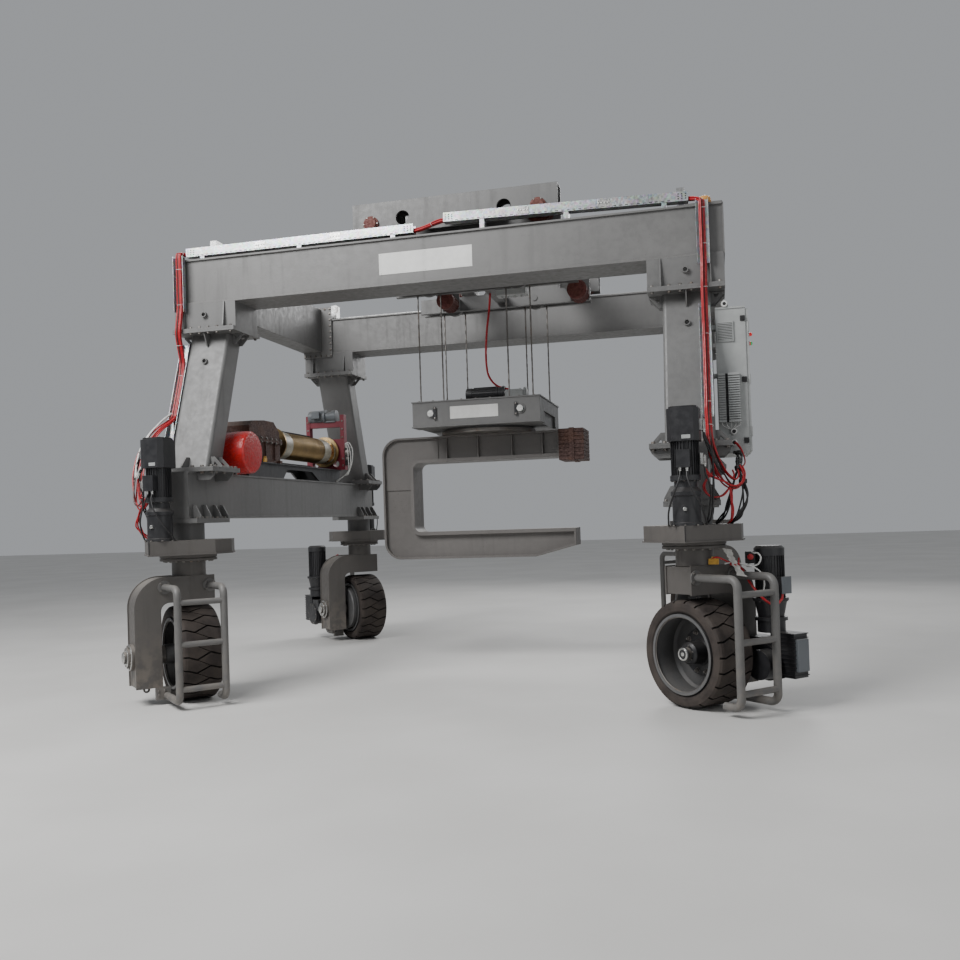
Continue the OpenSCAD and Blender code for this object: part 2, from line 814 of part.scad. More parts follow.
// An open channel standing on the origin's plane, with its open side towards -Y
module upright_channel(len, w, d) {
    translate([-w / 2, -d, 0]) difference() {
        cube([w, d, len]);
        translate([tray_t, -1, -1]) cube([w - 2 * tray_t, d - tray_t + 1, len + 2]);
    }
}

// The channel on a leg leans with it; push sets it back from the leg's front face
module leg_channel(x, push, z0, z1) {
    lean = leg_lean();
    translate([x, -leg_foot_y, foot_z]) rotate([-lean, 0, 0])
        translate([0, -leg_d / 2 * cos(lean) + push, (z0 - foot_z) / cos(lean)])
            upright_channel((z1 - z0) / cos(lean), leg_channel_w, up_d);
}

// A foot of a tray, from the girder up to its floor
module tray_foot(x, rise) {
    block([x - 25, -tray_face + 5, girder_top], [x + 25, -tray_face + tray_d - 5, girder_top + rise + 1]);
}

module cable_trays() {
    color(galvanised) {
        // Trays on feet above the front girder
        translate([tray_left, -tray_face, girder_top + tray_lift])
            channel(tray_gap[0] - tray_left, tray_d, tray_h);
        for (x = left_feet)
            tray_foot(x, tray_lift);
        translate([tray_gap[1], -tray_face, girder_top + tray_rise]) rotate([0, tray_tilt, 0])
            channel(right_len, tray_d, tray_h);
        for (x = right_feet)
            tray_foot(x, tray_rise - tray_fall(x));
        // Upright channels in front of the girder's ends, on lugs
        for (x = [left_up, tray_right]) {
            translate([x, -tray_face - up_gap, up_low]) upright_channel(up_high - up_low, up_w, up_d);
            for (z = [girder_z, girder_top - girder_flange])
                block([x - lug_w / 2, -tray_face - up_gap - 0.5, z + 3],
                      [x + lug_w / 2, -tray_face, z + girder_flange - 3]);
        }
        leg_channel(left_x, left_push, 2767, 3940);
        leg_channel(right_x, right_push, 2700, 3860);
    }
}

/* Cables */
cable_r = 24;
cable_sides = 8;
bed = tray_t + cable_r + seat_gap;
bed_y = -tray_face + tray_d / 2;
loom_y = -tray_face - up_gap - bed;
flange_front = -girder_y - top_half_y - cable_r - 4;
foot_front = -leg_foot_y - flange_y / 2 - cable_r - 8;
slope_y = tan(leg_lean());
left_z = girder_top + tray_lift + bed;
// Height of a cable's middle in the sloping tray
function right_bed(x) = girder_top + tray_rise - tray_fall(x) + bed;
// Middle of a cable in a leg's channel at a height, pulled forward by ahead
function leg_point(x, z, push, ahead = 0) = [
    x, -leg_foot_y - leg_d / 2 + (z - foot_z) * slope_y + (push - bed) / cos(leg_lean()) - ahead, z
];
// The run of a cable from a girder's channel past the flange plates and down a leg's channel
function leg_run(x0, x, push) = [
    [x0, loom_y - 1, girder_z + 60], [x0, loom_y - 6, girder_z - 60], [(x0 + x) / 2, flange_front, saddle_z + 50],
    [x, flange_front, leg_top - 60], leg_point(x, 3790, push, 50), leg_point(x, 3700, push, 18),
    leg_point(x, 3620, push, 4), leg_point(x, 3540, push, 0.5), leg_point(x, 3200, push), leg_point(x, 2940, push),
    leg_point(x, 2870, push, 1), leg_point(x, 2800, push, 11)
];
// Left loom: tray, over the girder's end, down the channels and past the leg's foot
left_loom = concat([
    [-700, bed_y, left_z], [-1500, bed_y, left_z], [tray_left + 160, bed_y, left_z],
    [tray_left + 80, bed_y, left_z + 1], [tray_left - 8, bed_y - 14, left_z + 4],
    [left_up + 12, bed_y - 60, left_z + 8], [left_up, loom_y + 9, girder_top + 56],
    [left_up, loom_y - 1, girder_top + 20], [left_up, loom_y - 1, girder_top - 60],
    [left_up, loom_y, girder_z + 280]
], leg_run(left_up, left_x, left_push), [
    [left_x, -2570, 2630], [left_x + 8, foot_front - 8, foot_z], [left_x + 12, foot_front - 30, foot_z - 70]
]);
// Middle loom between the two trays
middle_loom = [
    [-420, bed_y, left_z], [tray_gap[0], bed_y, left_z + 4], [-20, bed_y, girder_top + 92],
    [100, bed_y, girder_top + 128], [tray_gap[1] + 20, bed_y, right_bed(tray_gap[1]) + 1],
    [430, bed_y, right_bed(430)]
];
// Right loom: tray, down the channels, past the leg's foot, and round to the corner's drive
right_loom = concat([
    [2300, bed_y, right_bed(2300)], [2600, bed_y, right_bed(2600)], [2700, bed_y, right_bed(2700) + 1],
    [2770, bed_y - 14, right_bed(2700)], [tray_right - 34, bed_y - 56, girder_top + 70],
    [tray_right, loom_y + 9, girder_top + 54], [tray_right, loom_y - 1, girder_top + 20],
    [tray_right, loom_y - 1, girder_top - 60], [tray_right, loom_y, girder_z + 280]
], leg_run(tray_right, right_x, right_push), [
    [right_x + 6, -2600, 2620], [right_x + 18, foot_front - 16, foot_z + 10], [2894, foot_front - 34, 2420],
    [2914, -2732, 2327], [2967, -2764, 2184], [3046, -2800, 2085], [3010, -2830, 2000], [2905, -2850, 1960],
    [2830, -2850, 2020], [2800, -2838, 2140]
]);
function unit(v) = v / norm(v);
function along(path, k) = unit(path[min(k + 1, len(path) - 1)] - path[max(k - 1, 0)]);
function ring_at(path, k, r) =
    let (t = along(path, k),
         u = unit(cross(t, abs(t[0]) < 0.8 ? [1, 0, 0] : [0, 1, 0])),
         v = cross(t, u))
    [for (m = [0:cable_sides - 1])
        path[k] + r * cos(m * 360 / cable_sides) * u + r * sin(m * 360 / cable_sides) * v];

// A round cable swept along a list of points
module sweep(path, r) {
    n = len(path);
    pts = [for (k = [0:n - 1]) each ring_at(path, k, r)];
    sides = [for (k = [0:n - 2], m = [0:cable_sides - 1])
        let (a = k * cable_sides + m, b = k * cable_sides + (m + 1) % cable_sides)
        each [[a, b, b + cable_sides], [a, b + cable_sides, a + cable_sides]]];
    first = [for (m = [cable_sides - 1:-1:0]) m];
    last = [for (m = [0:cable_sides - 1]) (n - 1) * cable_sides + m];
    polyhedron(pts, concat([first], sides, [last]), convexity = 6);
}

// Points along a smooth curve through the given ones
function smooth(p, steps) = [
    for (k = [0:len(p) - 2], j = [0:steps - 1])
        let (a = p[max(k - 1, 0)], b = p[k], c = p[k + 1], d = p[min(k + 2, len(p) - 1)], t = j / steps)
        b + t / 2 * ((c - a) + t * ((2 * a - 5 * b + 4 * c - d) + t * (3 * b - a - 3 * c + d))),
    p[len(p) - 1]
];

module power_cables() {
    color(cable_red) {
        sweep(smooth(left_loom, 3), cable_r);
        sweep(smooth(middle_loom, 3), cable_r);
        sweep(smooth(right_loom, 3), cable_r);
    }
}

/* Trolley */
trolley_top = rail_top + 380;
trolley_low = trolley_top - trolley_h;
axle_z = rail_top + trolley_wheel_d / 2;
wheel_half = 55;
cheek_gap = 90;
cheek_t = 20;
hoist_z = rail_top - hoist_drop;
module trolley_cheek(y) {
    difference() {
        block([trolley_x - trolley_len / 2, y - cheek_t / 2, trolley_low],
              [trolley_x + trolley_len / 2, y + cheek_t / 2, trolley_top]);
        for (x = [-574, 567])
            translate([trolley_x + x, 0, trolley_top - 180]) rod_y(78, y - cheek_t, y + cheek_t);
        for (x = [-trolley_base / 2, trolley_base / 2])
            translate([trolley_x + x, 0, axle_z]) rod_y(45 + run_gap, y - cheek_t, y + cheek_t);
    }
}

beam_xs = [-640, 0, 980];
beam_half = 60;
beam_low = hoist_z + 60;
rail_gap = 70;
rail_half = 12;
rail_flange = 24;
travel_motors = [[-523, 110, -57], [1128, 120, -65]];
travel_motor_len = 212;
plate_half_y = 165;
electrics_x = [134, 504];
module trolley_frame() {
    color([0.50, 0.50, 0.49]) {
        for (s = [-1, 1]) {
            trolley_cheek(s * girder_y - cheek_gap);
            trolley_cheek(s * girder_y + cheek_gap);
            block([trolley_x - trolley_len / 2, s * girder_y - cheek_gap - cheek_t / 2, trolley_top - 1],
                  [trolley_x + trolley_len / 2, s * girder_y + cheek_gap + cheek_t / 2, trolley_top + 14]);
        }
        for (x = [-700, 700])
            block([trolley_x + x - 100, -girder_y + cheek_gap, trolley_low + 60],
                  [trolley_x + x + 100, girder_y - cheek_gap, trolley_top - 40]);
        for (x = [-700, 700], s = [-1, 1])
            block([trolley_x + x - 60, s * sheave_y - 80, hoist_z + 150],
                  [trolley_x + x + 60, s * sheave_y + 80, trolley_low + 61]);
        // Rails that carry the upper sheaves, with a flange along each lower edge
        for (s = [-1, 1], k = [-1, 1]) {
            y = s * sheave_y + k * rail_gap;
            block([trolley_x - 1130, y - rail_half, hoist_z], [trolley_x + 1160, y + rail_half, hoist_z + 200]);
            block([trolley_x - 1130, y + (k - 1) * rail_flange, hoist_z],
                  [trolley_x + 1160, y + (k + 1) * rail_flange, hoist_z + 14]);
        }
        for (x = beam_xs)
            block([trolley_x + x - beam_half, -sheave_y, beam_low],
                  [trolley_x + x + beam_half, sheave_y, beam_low + 110]);
        // Plates that carry the travel motors
        for (m = travel_motors)
            block([trolley_x + m[0] - m[1], -plate_half_y, hoist_z + m[2] - m[1] * 0.7],
                  [trolley_x + m[0] + m[1], 20 - plate_half_y, beam_low + 60]);
        for (e = [-1, 1], s = [-1, 1])
            translate([spreader_x + e * sheave_x, s * sheave_y, hoist_z + 100]) {
                rod_y(38, -95, 95);
                rod_y(sheave_d / 2 - rope_d / 2, -30, 30);
            }
    }
}

bearing_r = 88;
module trolley_wheels() {
    cheek = cheek_gap + cheek_t / 2;
    color([0.45, 0.25, 0.22]) for (s = [-1, 1], x = [-trolley_base / 2, trolley_base / 2])
        translate([trolley_x + x, s * girder_y, axle_z]) rotate([90, 0, 0]) {
            r = trolley_wheel_d / 2;
            // Wheel with two flanges, hub and a thinner web
            rotate_extrude($fn = 64) polygon([
                [0, -wheel_half], [60, -wheel_half], [60, -22], [r - 40, -22], [r - 40, -wheel_half],
                [r, -wheel_half], [r, wheel_half], [r - 40, wheel_half], [r - 40, 22], [60, 22], [60, wheel_half],
                [0, wheel_half]
            ]);
            cylinder(r = 45, h = 2 * cheek + 40, center = true);
            for (e = [0, 1])
                mirror([0, 0, e]) translate([0, 0, cheek]) rotate_extrude() polygon([
                    [0, 0], [bearing_r, 0], [bearing_r, 16], [bearing_r - 18, 22], [bearing_r - 22, 40], [0, 40]
                ]);
        }
}

module trolley_drives() {
    color([0.42, 0.16, 0.14]) for (m = travel_motors)
        translate([trolley_x + m[0], -plate_half_y, hoist_z + m[2]]) rotate([90, 0, 0]) {
            cylinder(r = m[1] - 4, h = 24);
            translate([0, 0, 23]) linear_extrude(travel_motor_len) finned(m[1], 9, 24, 5);
            translate([0, 0, 22 + travel_motor_len]) cylinder(r = m[1], h = 52);
            translate([0, 0, 73 + travel_motor_len]) cylinder(r1 = m[1], r2 = m[1] - 20, h = 18);
        }
    // Box of the trolley's electrics, against the flange of a rail
    y0 = -sheave_y + rail_gap + 2 * rail_flange;
    color([0.80, 0.80, 0.78])
        block([trolley_x + electrics_x[0], y0, hoist_z - 66], [trolley_x + electrics_x[1], y0 + 170, hoist_z + 60]);
}

module hoist_ropes() {
    z0 = spreader_z + spreader_h - 120;
    color([0.45, 0.44, 0.42]) for (e = [-1, 1], s = [-1, 1], k = [-1, 1])
        translate([spreader_x + e * sheave_x + k * sheave_d / 2, s * sheave_y, z0])
            cylinder(d = rope_d, h = hoist_z + 100 - z0, $fn = 8);
}

module spreader_cable() {
    z0 = spreader_z + spreader_h + 163;
    color(cable_red) translate([spreader_x + 100, -100, z0]) cylinder(d = 28, h = hoist_z + 60 - z0, $fn = 8);
}

/* Spreader */
pin_z = spreader_z + 166;
slot_half = sheave_d / 2 + rope_d;
slot_floor = 9;
notch_h = 150;
notch_half = 400;
edge_t = 16;
edge_out = 10;
module spreader_beam() {
    half = spreader_len / 2;
    color([0.50, 0.49, 0.48]) difference() {
        translate([spreader_x, 0, spreader_z]) {
            // Box with its upper and lower plates a little proud
            block([-half + edge_out, -spreader_w / 2 + edge_out, 0],
                  [half - edge_out, spreader_w / 2 - edge_out, spreader_h]);
            for (z = [0, spreader_h - edge_t])
                block([-half, -spreader_w / 2, z], [half, spreader_w / 2, z + edge_t]);
            translate([0, 0, -ring_t]) cylinder(d = turntable_d - 80, h = ring_t + 1, $fn = 96);
            // Bosses of the rope pins
            for (e = [-1, 1])
                translate([e * sheave_x, 0, pin_z - spreader_z]) rod_y(62, -spreader_w / 2, spreader_w / 2);
        }
        for (e = [-1, 1], s = [-1, 1])
            translate([spreader_x + e * sheave_x, s * sheave_y, 0])
                block([-slot_half, -45, spreader_z + slot_floor], [slot_half, 45, spreader_z + spreader_h + 1]);
        for (e = [-1, 1])
            translate([spreader_x + e * sheave_x, 0, pin_z])
                rod_y(40 + run_gap, -spreader_w / 2 - 1, spreader_w / 2 + 1);
        for (e = [-1, 1])
            translate([spreader_x + e * half, 0, spreader_z])
                block([-edge_out * 4, -notch_half, -1], [edge_out * 4, notch_half, notch_h]);
    }
}

module sheave() {
    groove = rope_d / 2 + 1;
    r = sheave_d / 2 + 4;
    rotate([90, 0, 0]) rotate_extrude($fn = 64) difference() {
        translate([0, -30]) square([r, 60]);
        translate([sheave_d / 2, 0]) circle(groove, $fn = 24);
        translate([sheave_d / 2, -groove]) square([groove + 10, 2 * groove]);
        for (e = [-1, 1])
            translate([62, e * 30 - 12]) square([r - 62 - 34, 24]);
    }
}

module spreader_sheaves() {
    color(galvanised) for (e = [-1, 1]) translate([spreader_x + e * sheave_x, 0, pin_z]) {
        rod_y(40, -spreader_w / 2 - 22, spreader_w / 2 + 22);
        for (s = [-1, 1]) translate([0, s * sheave_y, 0]) sheave();
        // Keeper bar across each pin end
        for (s = [0, 1]) mirror([0, s, 0])
            block([-e * 52 - 14, spreader_w / 2 + 0.2, -75], [-e * 52 + 14, spreader_w / 2 + 12, 75]);
    }
}

module spreader_motor() {
    z0 = spreader_z + spreader_h;
    color(black) translate([spreader_x, -100, z0 + 85]) {
        translate([-190, 0, 0]) rotate([0, 90, 0]) linear_extrude(420) finned(78, 8, 24, 4);
        rod_x(80, -246, -189);
        rod_x(84, 229, 275);
        block([275, -120, -85], [535, 120, 60]);
        block([295, -100, 59], [515, 100, 80]);
        block([-200, -70, -85], [-160, 70, -60]);
        block([140, -70, -85], [180, 70, -60]);
        block([-60, -58, 60], [60, 58, 104]);
    }
}

/* Hook */
table_t = 42;
ring_t = 28;
hook_top = spreader_z - ring_t - run_gap - table_t;
hook_z = hook_top - hook_top_h;
arm_top_z = hook_z - throat_h;
hook_low = arm_top_z - hook_low_h;
top_end = 936;
rim_out = 24;
rim_in = 45;
web_half = hook_t / 2 - 62;
rib_xs = [-517, -105, 333, 720];
// Side view of the hook; out draws its outer edge further in, and throat draws the throat wider
module hook_outline(out = 0, throat = 0) {
    r = hook_round - out;
    q = throat_round + throat;
    back = -hook_back + out;
    spine = -hook_back + hook_spine - throat;
    top = hook_top - out;
    low = hook_low + out;
    under = hook_z + throat;
    rest = arm_top_z - throat;
    tip = hook_tip - out;
    difference() {
        union() {
            for (z = [top - r, low + r])
                translate([back + r, z]) circle(r, $fn = 64);
            translate([back, low + r]) square([spine - back, top - low - 2 * r]);
            translate([back + r, low]) square([spine - back - r, top - low]);
            translate([back + r, under]) square([top_end - out - back - r, top - under]);
            polygon([
                [back + r, low], [600, low], [tip, hook_low + 130 + out], [tip, rest], [back + r, rest]
            ]);
            translate([spine, rest]) square([q, q]);
            translate([spine, under - q]) square([q, q]);
        }
        for (z = [rest + q, under - q])
            translate([spine + q, z]) circle(q, $fn = 64);
    }
}

module coil_hook() {
    color([0.42, 0.39, 0.37]) translate([spreader_x, 0, 0]) {
        plate_xz(2 * web_half) hook_outline(rim_out / 2);
        // Flange plates round the web
        plate_xz(hook_t) difference() {
            hook_outline();
            hook_outline(rim_out, rim_in);
        }
        for (x = rib_xs)
            block([x - rib_t / 2, -hook_t / 2 + 6, hook_z + rim_in - 1],
                  [x + rib_t / 2, hook_t / 2 - 6, hook_top - rim_out + 1]);
        // Doubler over the upper corner of the back
        plate_xz(2 * web_half + 28) intersection() {
            hook_outline(rim_out - 1, rim_in - 1);
            block_2d([-hook_back, hook_z - 340], [-640, hook_top]);
        }
    }
}

// A rectangle given by its lowest and highest corner
module block_2d(lo, hi) {
    translate(lo) square(hi - lo);
}

module turntable() {
    color([0.35, 0.34, 0.33]) translate([spreader_x, 0, hook_top]) cylinder(d = turntable_d, h = table_t, $fn = 96);
}

weight_x = 312;
weight_half = 260;
weight_h = 385;
weight_low = 48;
plate_count = 8;
module counterweight() {
    step = weight_h / plate_count;
    color([0.36, 0.19, 0.15]) translate([spreader_x + top_end, 0, hook_z - weight_low]) {
        block([0, -weight_half + 8, 0], [weight_x - 8, weight_half - 8, weight_h]);
        // Stacked plates with a shadow gap between them
        for (k = [0:plate_count - 1])
            block([0, -weight_half, k * step + 3], [weight_x, weight_half, (k + 1) * step - 3]);
        // Strap round the stack
        block([weight_x * 0.42, -weight_half - 8, -8], [weight_x * 0.42 + 60, weight_half + 8, weight_h + 8]);
    }
}

/* Winch */
winch_x = -pin_x;
drum_z = sill_top + drum_up;
base_h = 185;
base_from = -1430;
base_to = 1420;
base_t = 30;
module winch_base() {
    color(black) {
        for (s = [-1, 1]) translate([winch_x + s * 150, 0, sill_top]) plate_yz(base_t) polygon([
            [base_from, 0], [-480, 0], [-360, 120], [420, 120], [660, 0], [base_to, 0],
            [base_to, base_h], [base_from, base_h]
        ]);
        // Top flanges and cross plates between the two side plates
        for (s = [-1, 1])
            block([winch_x + s * 150 - 50, base_from, sill_top + base_h - 14],
                  [winch_x + s * 150 + 50, base_to, sill_top + base_h]);
        for (y = [base_from, -560, 700, base_to - 20])
            block([winch_x - 136, y, sill_top], [winch_x + 136, y + 20, sill_top + base_h]);
    }
}

motor_y = -1736;
motor_from = -2850;
motor_to = -2290;
module winch_motor() {
    color([0.70, 0.07, 0.06]) translate([0, motor_y, sill_top + motor_r]) rotate([0, 90, 0])
        translate([0, 0, motor_from]) rotate_extrude($fn = 64) polygon([
            [0, 0], [motor_r - 30, 0], [motor_r - 8, 26], [motor_r, 60], [motor_r, 210], [motor_r - 9, 250],
            [motor_r - 4, 330], [motor_r, 400], [motor_r - 3, motor_to - motor_from - 22],
            [motor_r - 22, motor_to - motor_from], [0, motor_to - motor_from]
        ]);
}

gear_x = [winch_x - 215, winch_x + 215];
gear_y = [-1470, -600];
drum_from = -500;
module winch_gearbox() {
    z0 = sill_top + base_h;
    top = sill_top + 700;
    color([0.30, 0.22, 0.19]) {
        // Lower case, split flange and a stepped cap with a cast round over the drum shaft
        block([gear_x[0] + 25, gear_y[0] + 25, z0], [gear_x[1] - 25, gear_y[1] - 20, drum_z]);
        block([gear_x[0], gear_y[0], drum_z - 22], [gear_x[1], gear_y[1], drum_z + 22]);
        translate([(gear_x[0] + gear_x[1]) / 2, 0, 0]) plate_yz(gear_x[1] - gear_x[0] - 50) polygon([
            [gear_y[0] + 25, drum_z], [gear_y[0] + 40, top - 90], [gear_y[0] + 110, top - 30],
            [gear_y[0] + 420, top], [gear_y[1] - 180, top], [gear_y[1] - 30, top - 120], [gear_y[1] - 20, drum_z]
        ]);
        for (y = [gear_y[0] + 60, gear_y[1] - 90])
            block([gear_x[0] - 10, y, z0], [gear_x[1] + 10, y + 60, z0 + 30]);
        for (y = [gear_y[0] + 180, gear_y[0] + 420, gear_y[1] - 200])
            block([gear_x[0] + 5, y, z0 + 30], [gear_x[1] - 5, y + 16, drum_z]);
        translate([winch_x, 0, drum_z]) rod_y(150, gear_y[1] - 40, gear_y[1] + 20);
        translate([winch_x, 0, drum_z]) rod_y(110, gear_y[1] + 19, drum_from - 60);
    }
}

frame_y = [1300, 1400];
module winch_end_frame() {
    y = frame_y;
    color([0.40, 0.06, 0.12]) {
        for (s = [-1, 1])
            block([winch_x + s * 270 - 30, y[0], sill_top + base_h], [winch_x + s * 270 + 30, y[1], sill_top + 1000]);
        difference() {
            block([winch_x - 300, y[0], sill_top + base_h], [winch_x + 300, y[1], sill_top + 640]);
            for (s = [-1, 1])
                translate([winch_x + s * 165, 0, sill_top + base_h + 90]) rod_y(48, y[0] - 1, y[1] + 1);
        }
        block([winch_x - 300, y[0] + 10, sill_top + 820], [winch_x + 300, y[1] - 10, sill_top + 906]);
        translate([winch_x, 0, drum_z]) rod_y(120, y[0] - 14, y[0] + 10);
    }
    color([0.5, 0.5, 0.52]) translate([winch_x - 250, (y[0] + y[1]) / 2, sill_top + 985]) {
        rod_x(85, 0, 240);
        rod_x(92, 238, 262);
        rod_x(70, 261, 420);
    }
    // Tie beams from the gear case to the end frame, above and below the drum
    color(black) for (z = [drum_z - 230, drum_z + 215])
        block([winch_x - 295, gear_y[1] - 22, z], [winch_x - 245, y[0] + 1, z + 40]);
}

coil_pitch = 34;
coil_depth = 7;
cheek_r = 222;
module rope_drum() {
    grooves = floor((drum_len - 130) / coil_pitch);
    color([0.55, 0.45, 0.28]) translate([winch_x, drum_from + drum_len, drum_z]) rotate([90, 0, 0])
        rotate_extrude($fn = 72) polygon(concat(
            [[0, 0], [cheek_r, 0], [cheek_r, 28], [drum_r, 34]],
            [for (k = [0:grooves - 1]) each [
                [drum_r, 60 + k * coil_pitch + 4], [drum_r - coil_depth, 60 + (k + 0.3) * coil_pitch],
                [drum_r - coil_depth, 60 + (k + 0.7) * coil_pitch], [drum_r, 60 + (k + 1) * coil_pitch - 4]
            ]],
            [[drum_r, drum_len - 34], [cheek_r, drum_len - 28], [cheek_r, drum_len], [0, drum_len]]
        ));
    color([0.55, 0.45, 0.28]) translate([winch_x, 0, drum_z])
        rod_y(60, drum_from - 59.7, frame_y[0] - 14.3);
}

/* Cabinet */
cab_x = pin_x + leg_w / 2 + cabinet_gap;
cab_y = -leg_foot_y + flange_y / 2 + 13;
cab_z = sill_top - cabinet_drop;
door_x = cab_x + cabinet_w + 0.5;
door_y = cab_y + 10;
roof_out = 8;
brace_t = 45;
// Braces between the leg and the cabinet: height, first and last y from the cabinet's front
braces = [[760, 10, 55], [1250, 20, 170]];
module cabinet() {
    top = cab_z + cabinet_h;
    color([0.72, 0.72, 0.70]) {
        block([cab_x, cab_y, cab_z], [cab_x + cabinet_w, cab_y + cabinet_d, top - 18]);
        block([cab_x, cab_y - roof_out, top - 19], [cab_x + cabinet_w, cab_y + cabinet_d + roof_out, top]);
        for (p = braces)
            block([cab_x - cabinet_gap, cab_y + p[1], cab_z + p[0]], [cab_x, cab_y + p[2], cab_z + p[0] + brace_t]);
        // Lifting eye on the roof
        translate([cab_x + 100, cab_y + 24, top + 24]) plate_xz(10) difference() {
            union() {
                circle(30);
                translate([-30, -25]) square([60, 25]);
            }
            circle(16);
        }
    }
}

gland_zs = [105, 215];
module cabinet_fittings() {
    color([0.80, 0.80, 0.78]) {
        for (x = [6, 102])
            difference() {
                block([cab_x + x, cab_y - 70, cab_z + 309], [cab_x + x + (x < 50 ? 70 : 112), cab_y, cab_z + 797]);
                // Cooling fins: slots across the front of each resistor box
                for (z = [330:24:780])
                    block([cab_x + x - 1, cab_y - 71, cab_z + z], [cab_x + x + 113, cab_y - 46, cab_z + z + 10]);
            }
        block([cab_x + 8, cab_y - 14, cab_z + 1115], [cab_x + 172, cab_y, cab_z + 1320]);
        for (z = [1130:16:1304])
            block([cab_x + 20, cab_y - 20, cab_z + z], [cab_x + 160, cab_y - 13, cab_z + z + 7]);
        for (z = gland_zs) translate([cab_x + 142, 0, cab_z + z]) {
            rod_y(38, cab_y - 8, cab_y);
            rod_y(28, cab_y - 34, cab_y - 7);
        }
    }
}

hinge_r = 9;
module cabinet_door() {
    color([0.72, 0.72, 0.70]) {
        block([door_x, door_y, cab_z + 20], [door_x + door_t, cab_y + cabinet_d - 10, cab_z + cabinet_h - 28]);
        // Swing handle
        block([door_x + door_t - 1, cab_y + cabinet_d - 60, cab_z + 620],
              [door_x + door_t + 14, cab_y + cabinet_d - 34, cab_z + 790]);
        for (z = [160, cabinet_h / 2 - 50, cabinet_h - 260])
            translate([door_x + door_t, door_y, cab_z + z]) cylinder(r = hinge_r, h = 100);
    }
}

module signal_lamps() {
    for (p = [[278, [0.7, 0.1, 0.1]], [370, [0.1, 0.6, 0.2]]])
        color(p[1]) translate([door_x + door_t, cab_y + 70, cab_z + cabinet_h - p[0]]) rod_x(18, 0, 26);
}

module beacon() {
    color([0.85, 0.55, 0.2]) translate([girder_half - 180, -girder_y - 150, girder_top]) {
        cylinder(r = 74, h = 26);
        // Dome
        rotate_extrude() intersection() {
            translate([0, 4]) circle(66, $fn = 64);
            translate([0, 25]) square([80, 80]);
        }
    }
}

girder(-1);  // front_girder
girder(1);  // back_girder
end_beams();
saddle_blocks();
leg(0);  // front_left_leg
leg(1);  // front_right_leg
leg(2);  // back_left_leg
leg(3);  // back_right_leg
color(paint) sill(-1);  // left_sill
color(paint) sill(1);  // right_sill
gear_covers();
steering_drives();
crane_rails();
cable_trays();
power_cables();
winch_base();
winch_motor();
winch_gearbox();
winch_end_frame();
rope_drum();
cabinet();
cabinet_fittings();
cabinet_door();
signal_lamps();
beacon();
arm_at(0);  // front_left_arm
arm_at(1);  // front_right_arm
arm_at(2);  // back_left_arm
arm_at(3);  // back_right_arm
guard_at(0);  // front_left_guard
guard_at(1);  // front_right_guard
guard_at(2);  // back_left_guard
guard_at(3);  // back_right_guard
travel_at(1);  // front_right_drive
travel_at(2);  // back_left_drive
rim_at(0);  // front_left_rim
rim_at(1);  // front_right_rim
rim_at(2);  // back_left_rim
rim_at(3);  // back_right_rim
tyre_at(0);  // front_left_tyre
tyre_at(1);  // front_right_tyre
tyre_at(2);  // back_left_tyre
tyre_at(3);  // back_right_tyre
trolley_frame();
trolley_wheels();
trolley_drives();
hoist_ropes();
spreader_cable();
spreader_beam();
spreader_sheaves();
spreader_motor();
coil_hook();
turntable();
counterweight();
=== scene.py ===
"""Looks of a rubber tyred gantry crane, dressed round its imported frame."""
import logging
import math
import random
from collections.abc import Iterable
from dataclasses import dataclass, field
from enum import Enum

import bmesh
import bpy
from mathutils import Matrix, Vector


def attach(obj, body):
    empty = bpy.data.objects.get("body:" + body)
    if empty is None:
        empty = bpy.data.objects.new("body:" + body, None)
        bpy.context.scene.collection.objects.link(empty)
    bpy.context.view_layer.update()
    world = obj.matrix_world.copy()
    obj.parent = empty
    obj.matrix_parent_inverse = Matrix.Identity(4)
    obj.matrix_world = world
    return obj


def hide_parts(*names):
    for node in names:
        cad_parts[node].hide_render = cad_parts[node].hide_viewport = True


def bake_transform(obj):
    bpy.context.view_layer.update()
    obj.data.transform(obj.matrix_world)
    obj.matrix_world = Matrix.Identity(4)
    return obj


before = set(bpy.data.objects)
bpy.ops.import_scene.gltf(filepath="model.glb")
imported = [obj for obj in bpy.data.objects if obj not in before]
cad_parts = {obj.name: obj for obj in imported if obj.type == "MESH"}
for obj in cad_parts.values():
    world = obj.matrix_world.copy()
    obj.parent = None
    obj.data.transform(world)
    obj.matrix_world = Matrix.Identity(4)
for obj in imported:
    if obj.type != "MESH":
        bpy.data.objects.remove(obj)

log = logging.getLogger("crane")
Colour = tuple[float, float, float]
Point = tuple[float, float, float]
Profile = tuple[tuple[float, float], ...]
EVEN: Point = (1.0, 1.0, 1.0)
RIGHT, LEFT, BACK, FRONT, UP, DOWN = (1, 0, 0), (-1, 0, 0), (0, 1, 0), (0, -1, 0), (0, 0, 1), (0, 0, -1)
ENDS = (-1, 1)
DUST, MUD, GROOVE_SHADE = (0.33, 0.30, 0.26), (0.30, 0.25, 0.20), (0.004, 0.0034, 0.003)


def toned(colour: Colour, factor: float) -> Colour:
    """Returns a colour made darker or lighter by a factor."""
    return tuple(factor * c for c in colour)


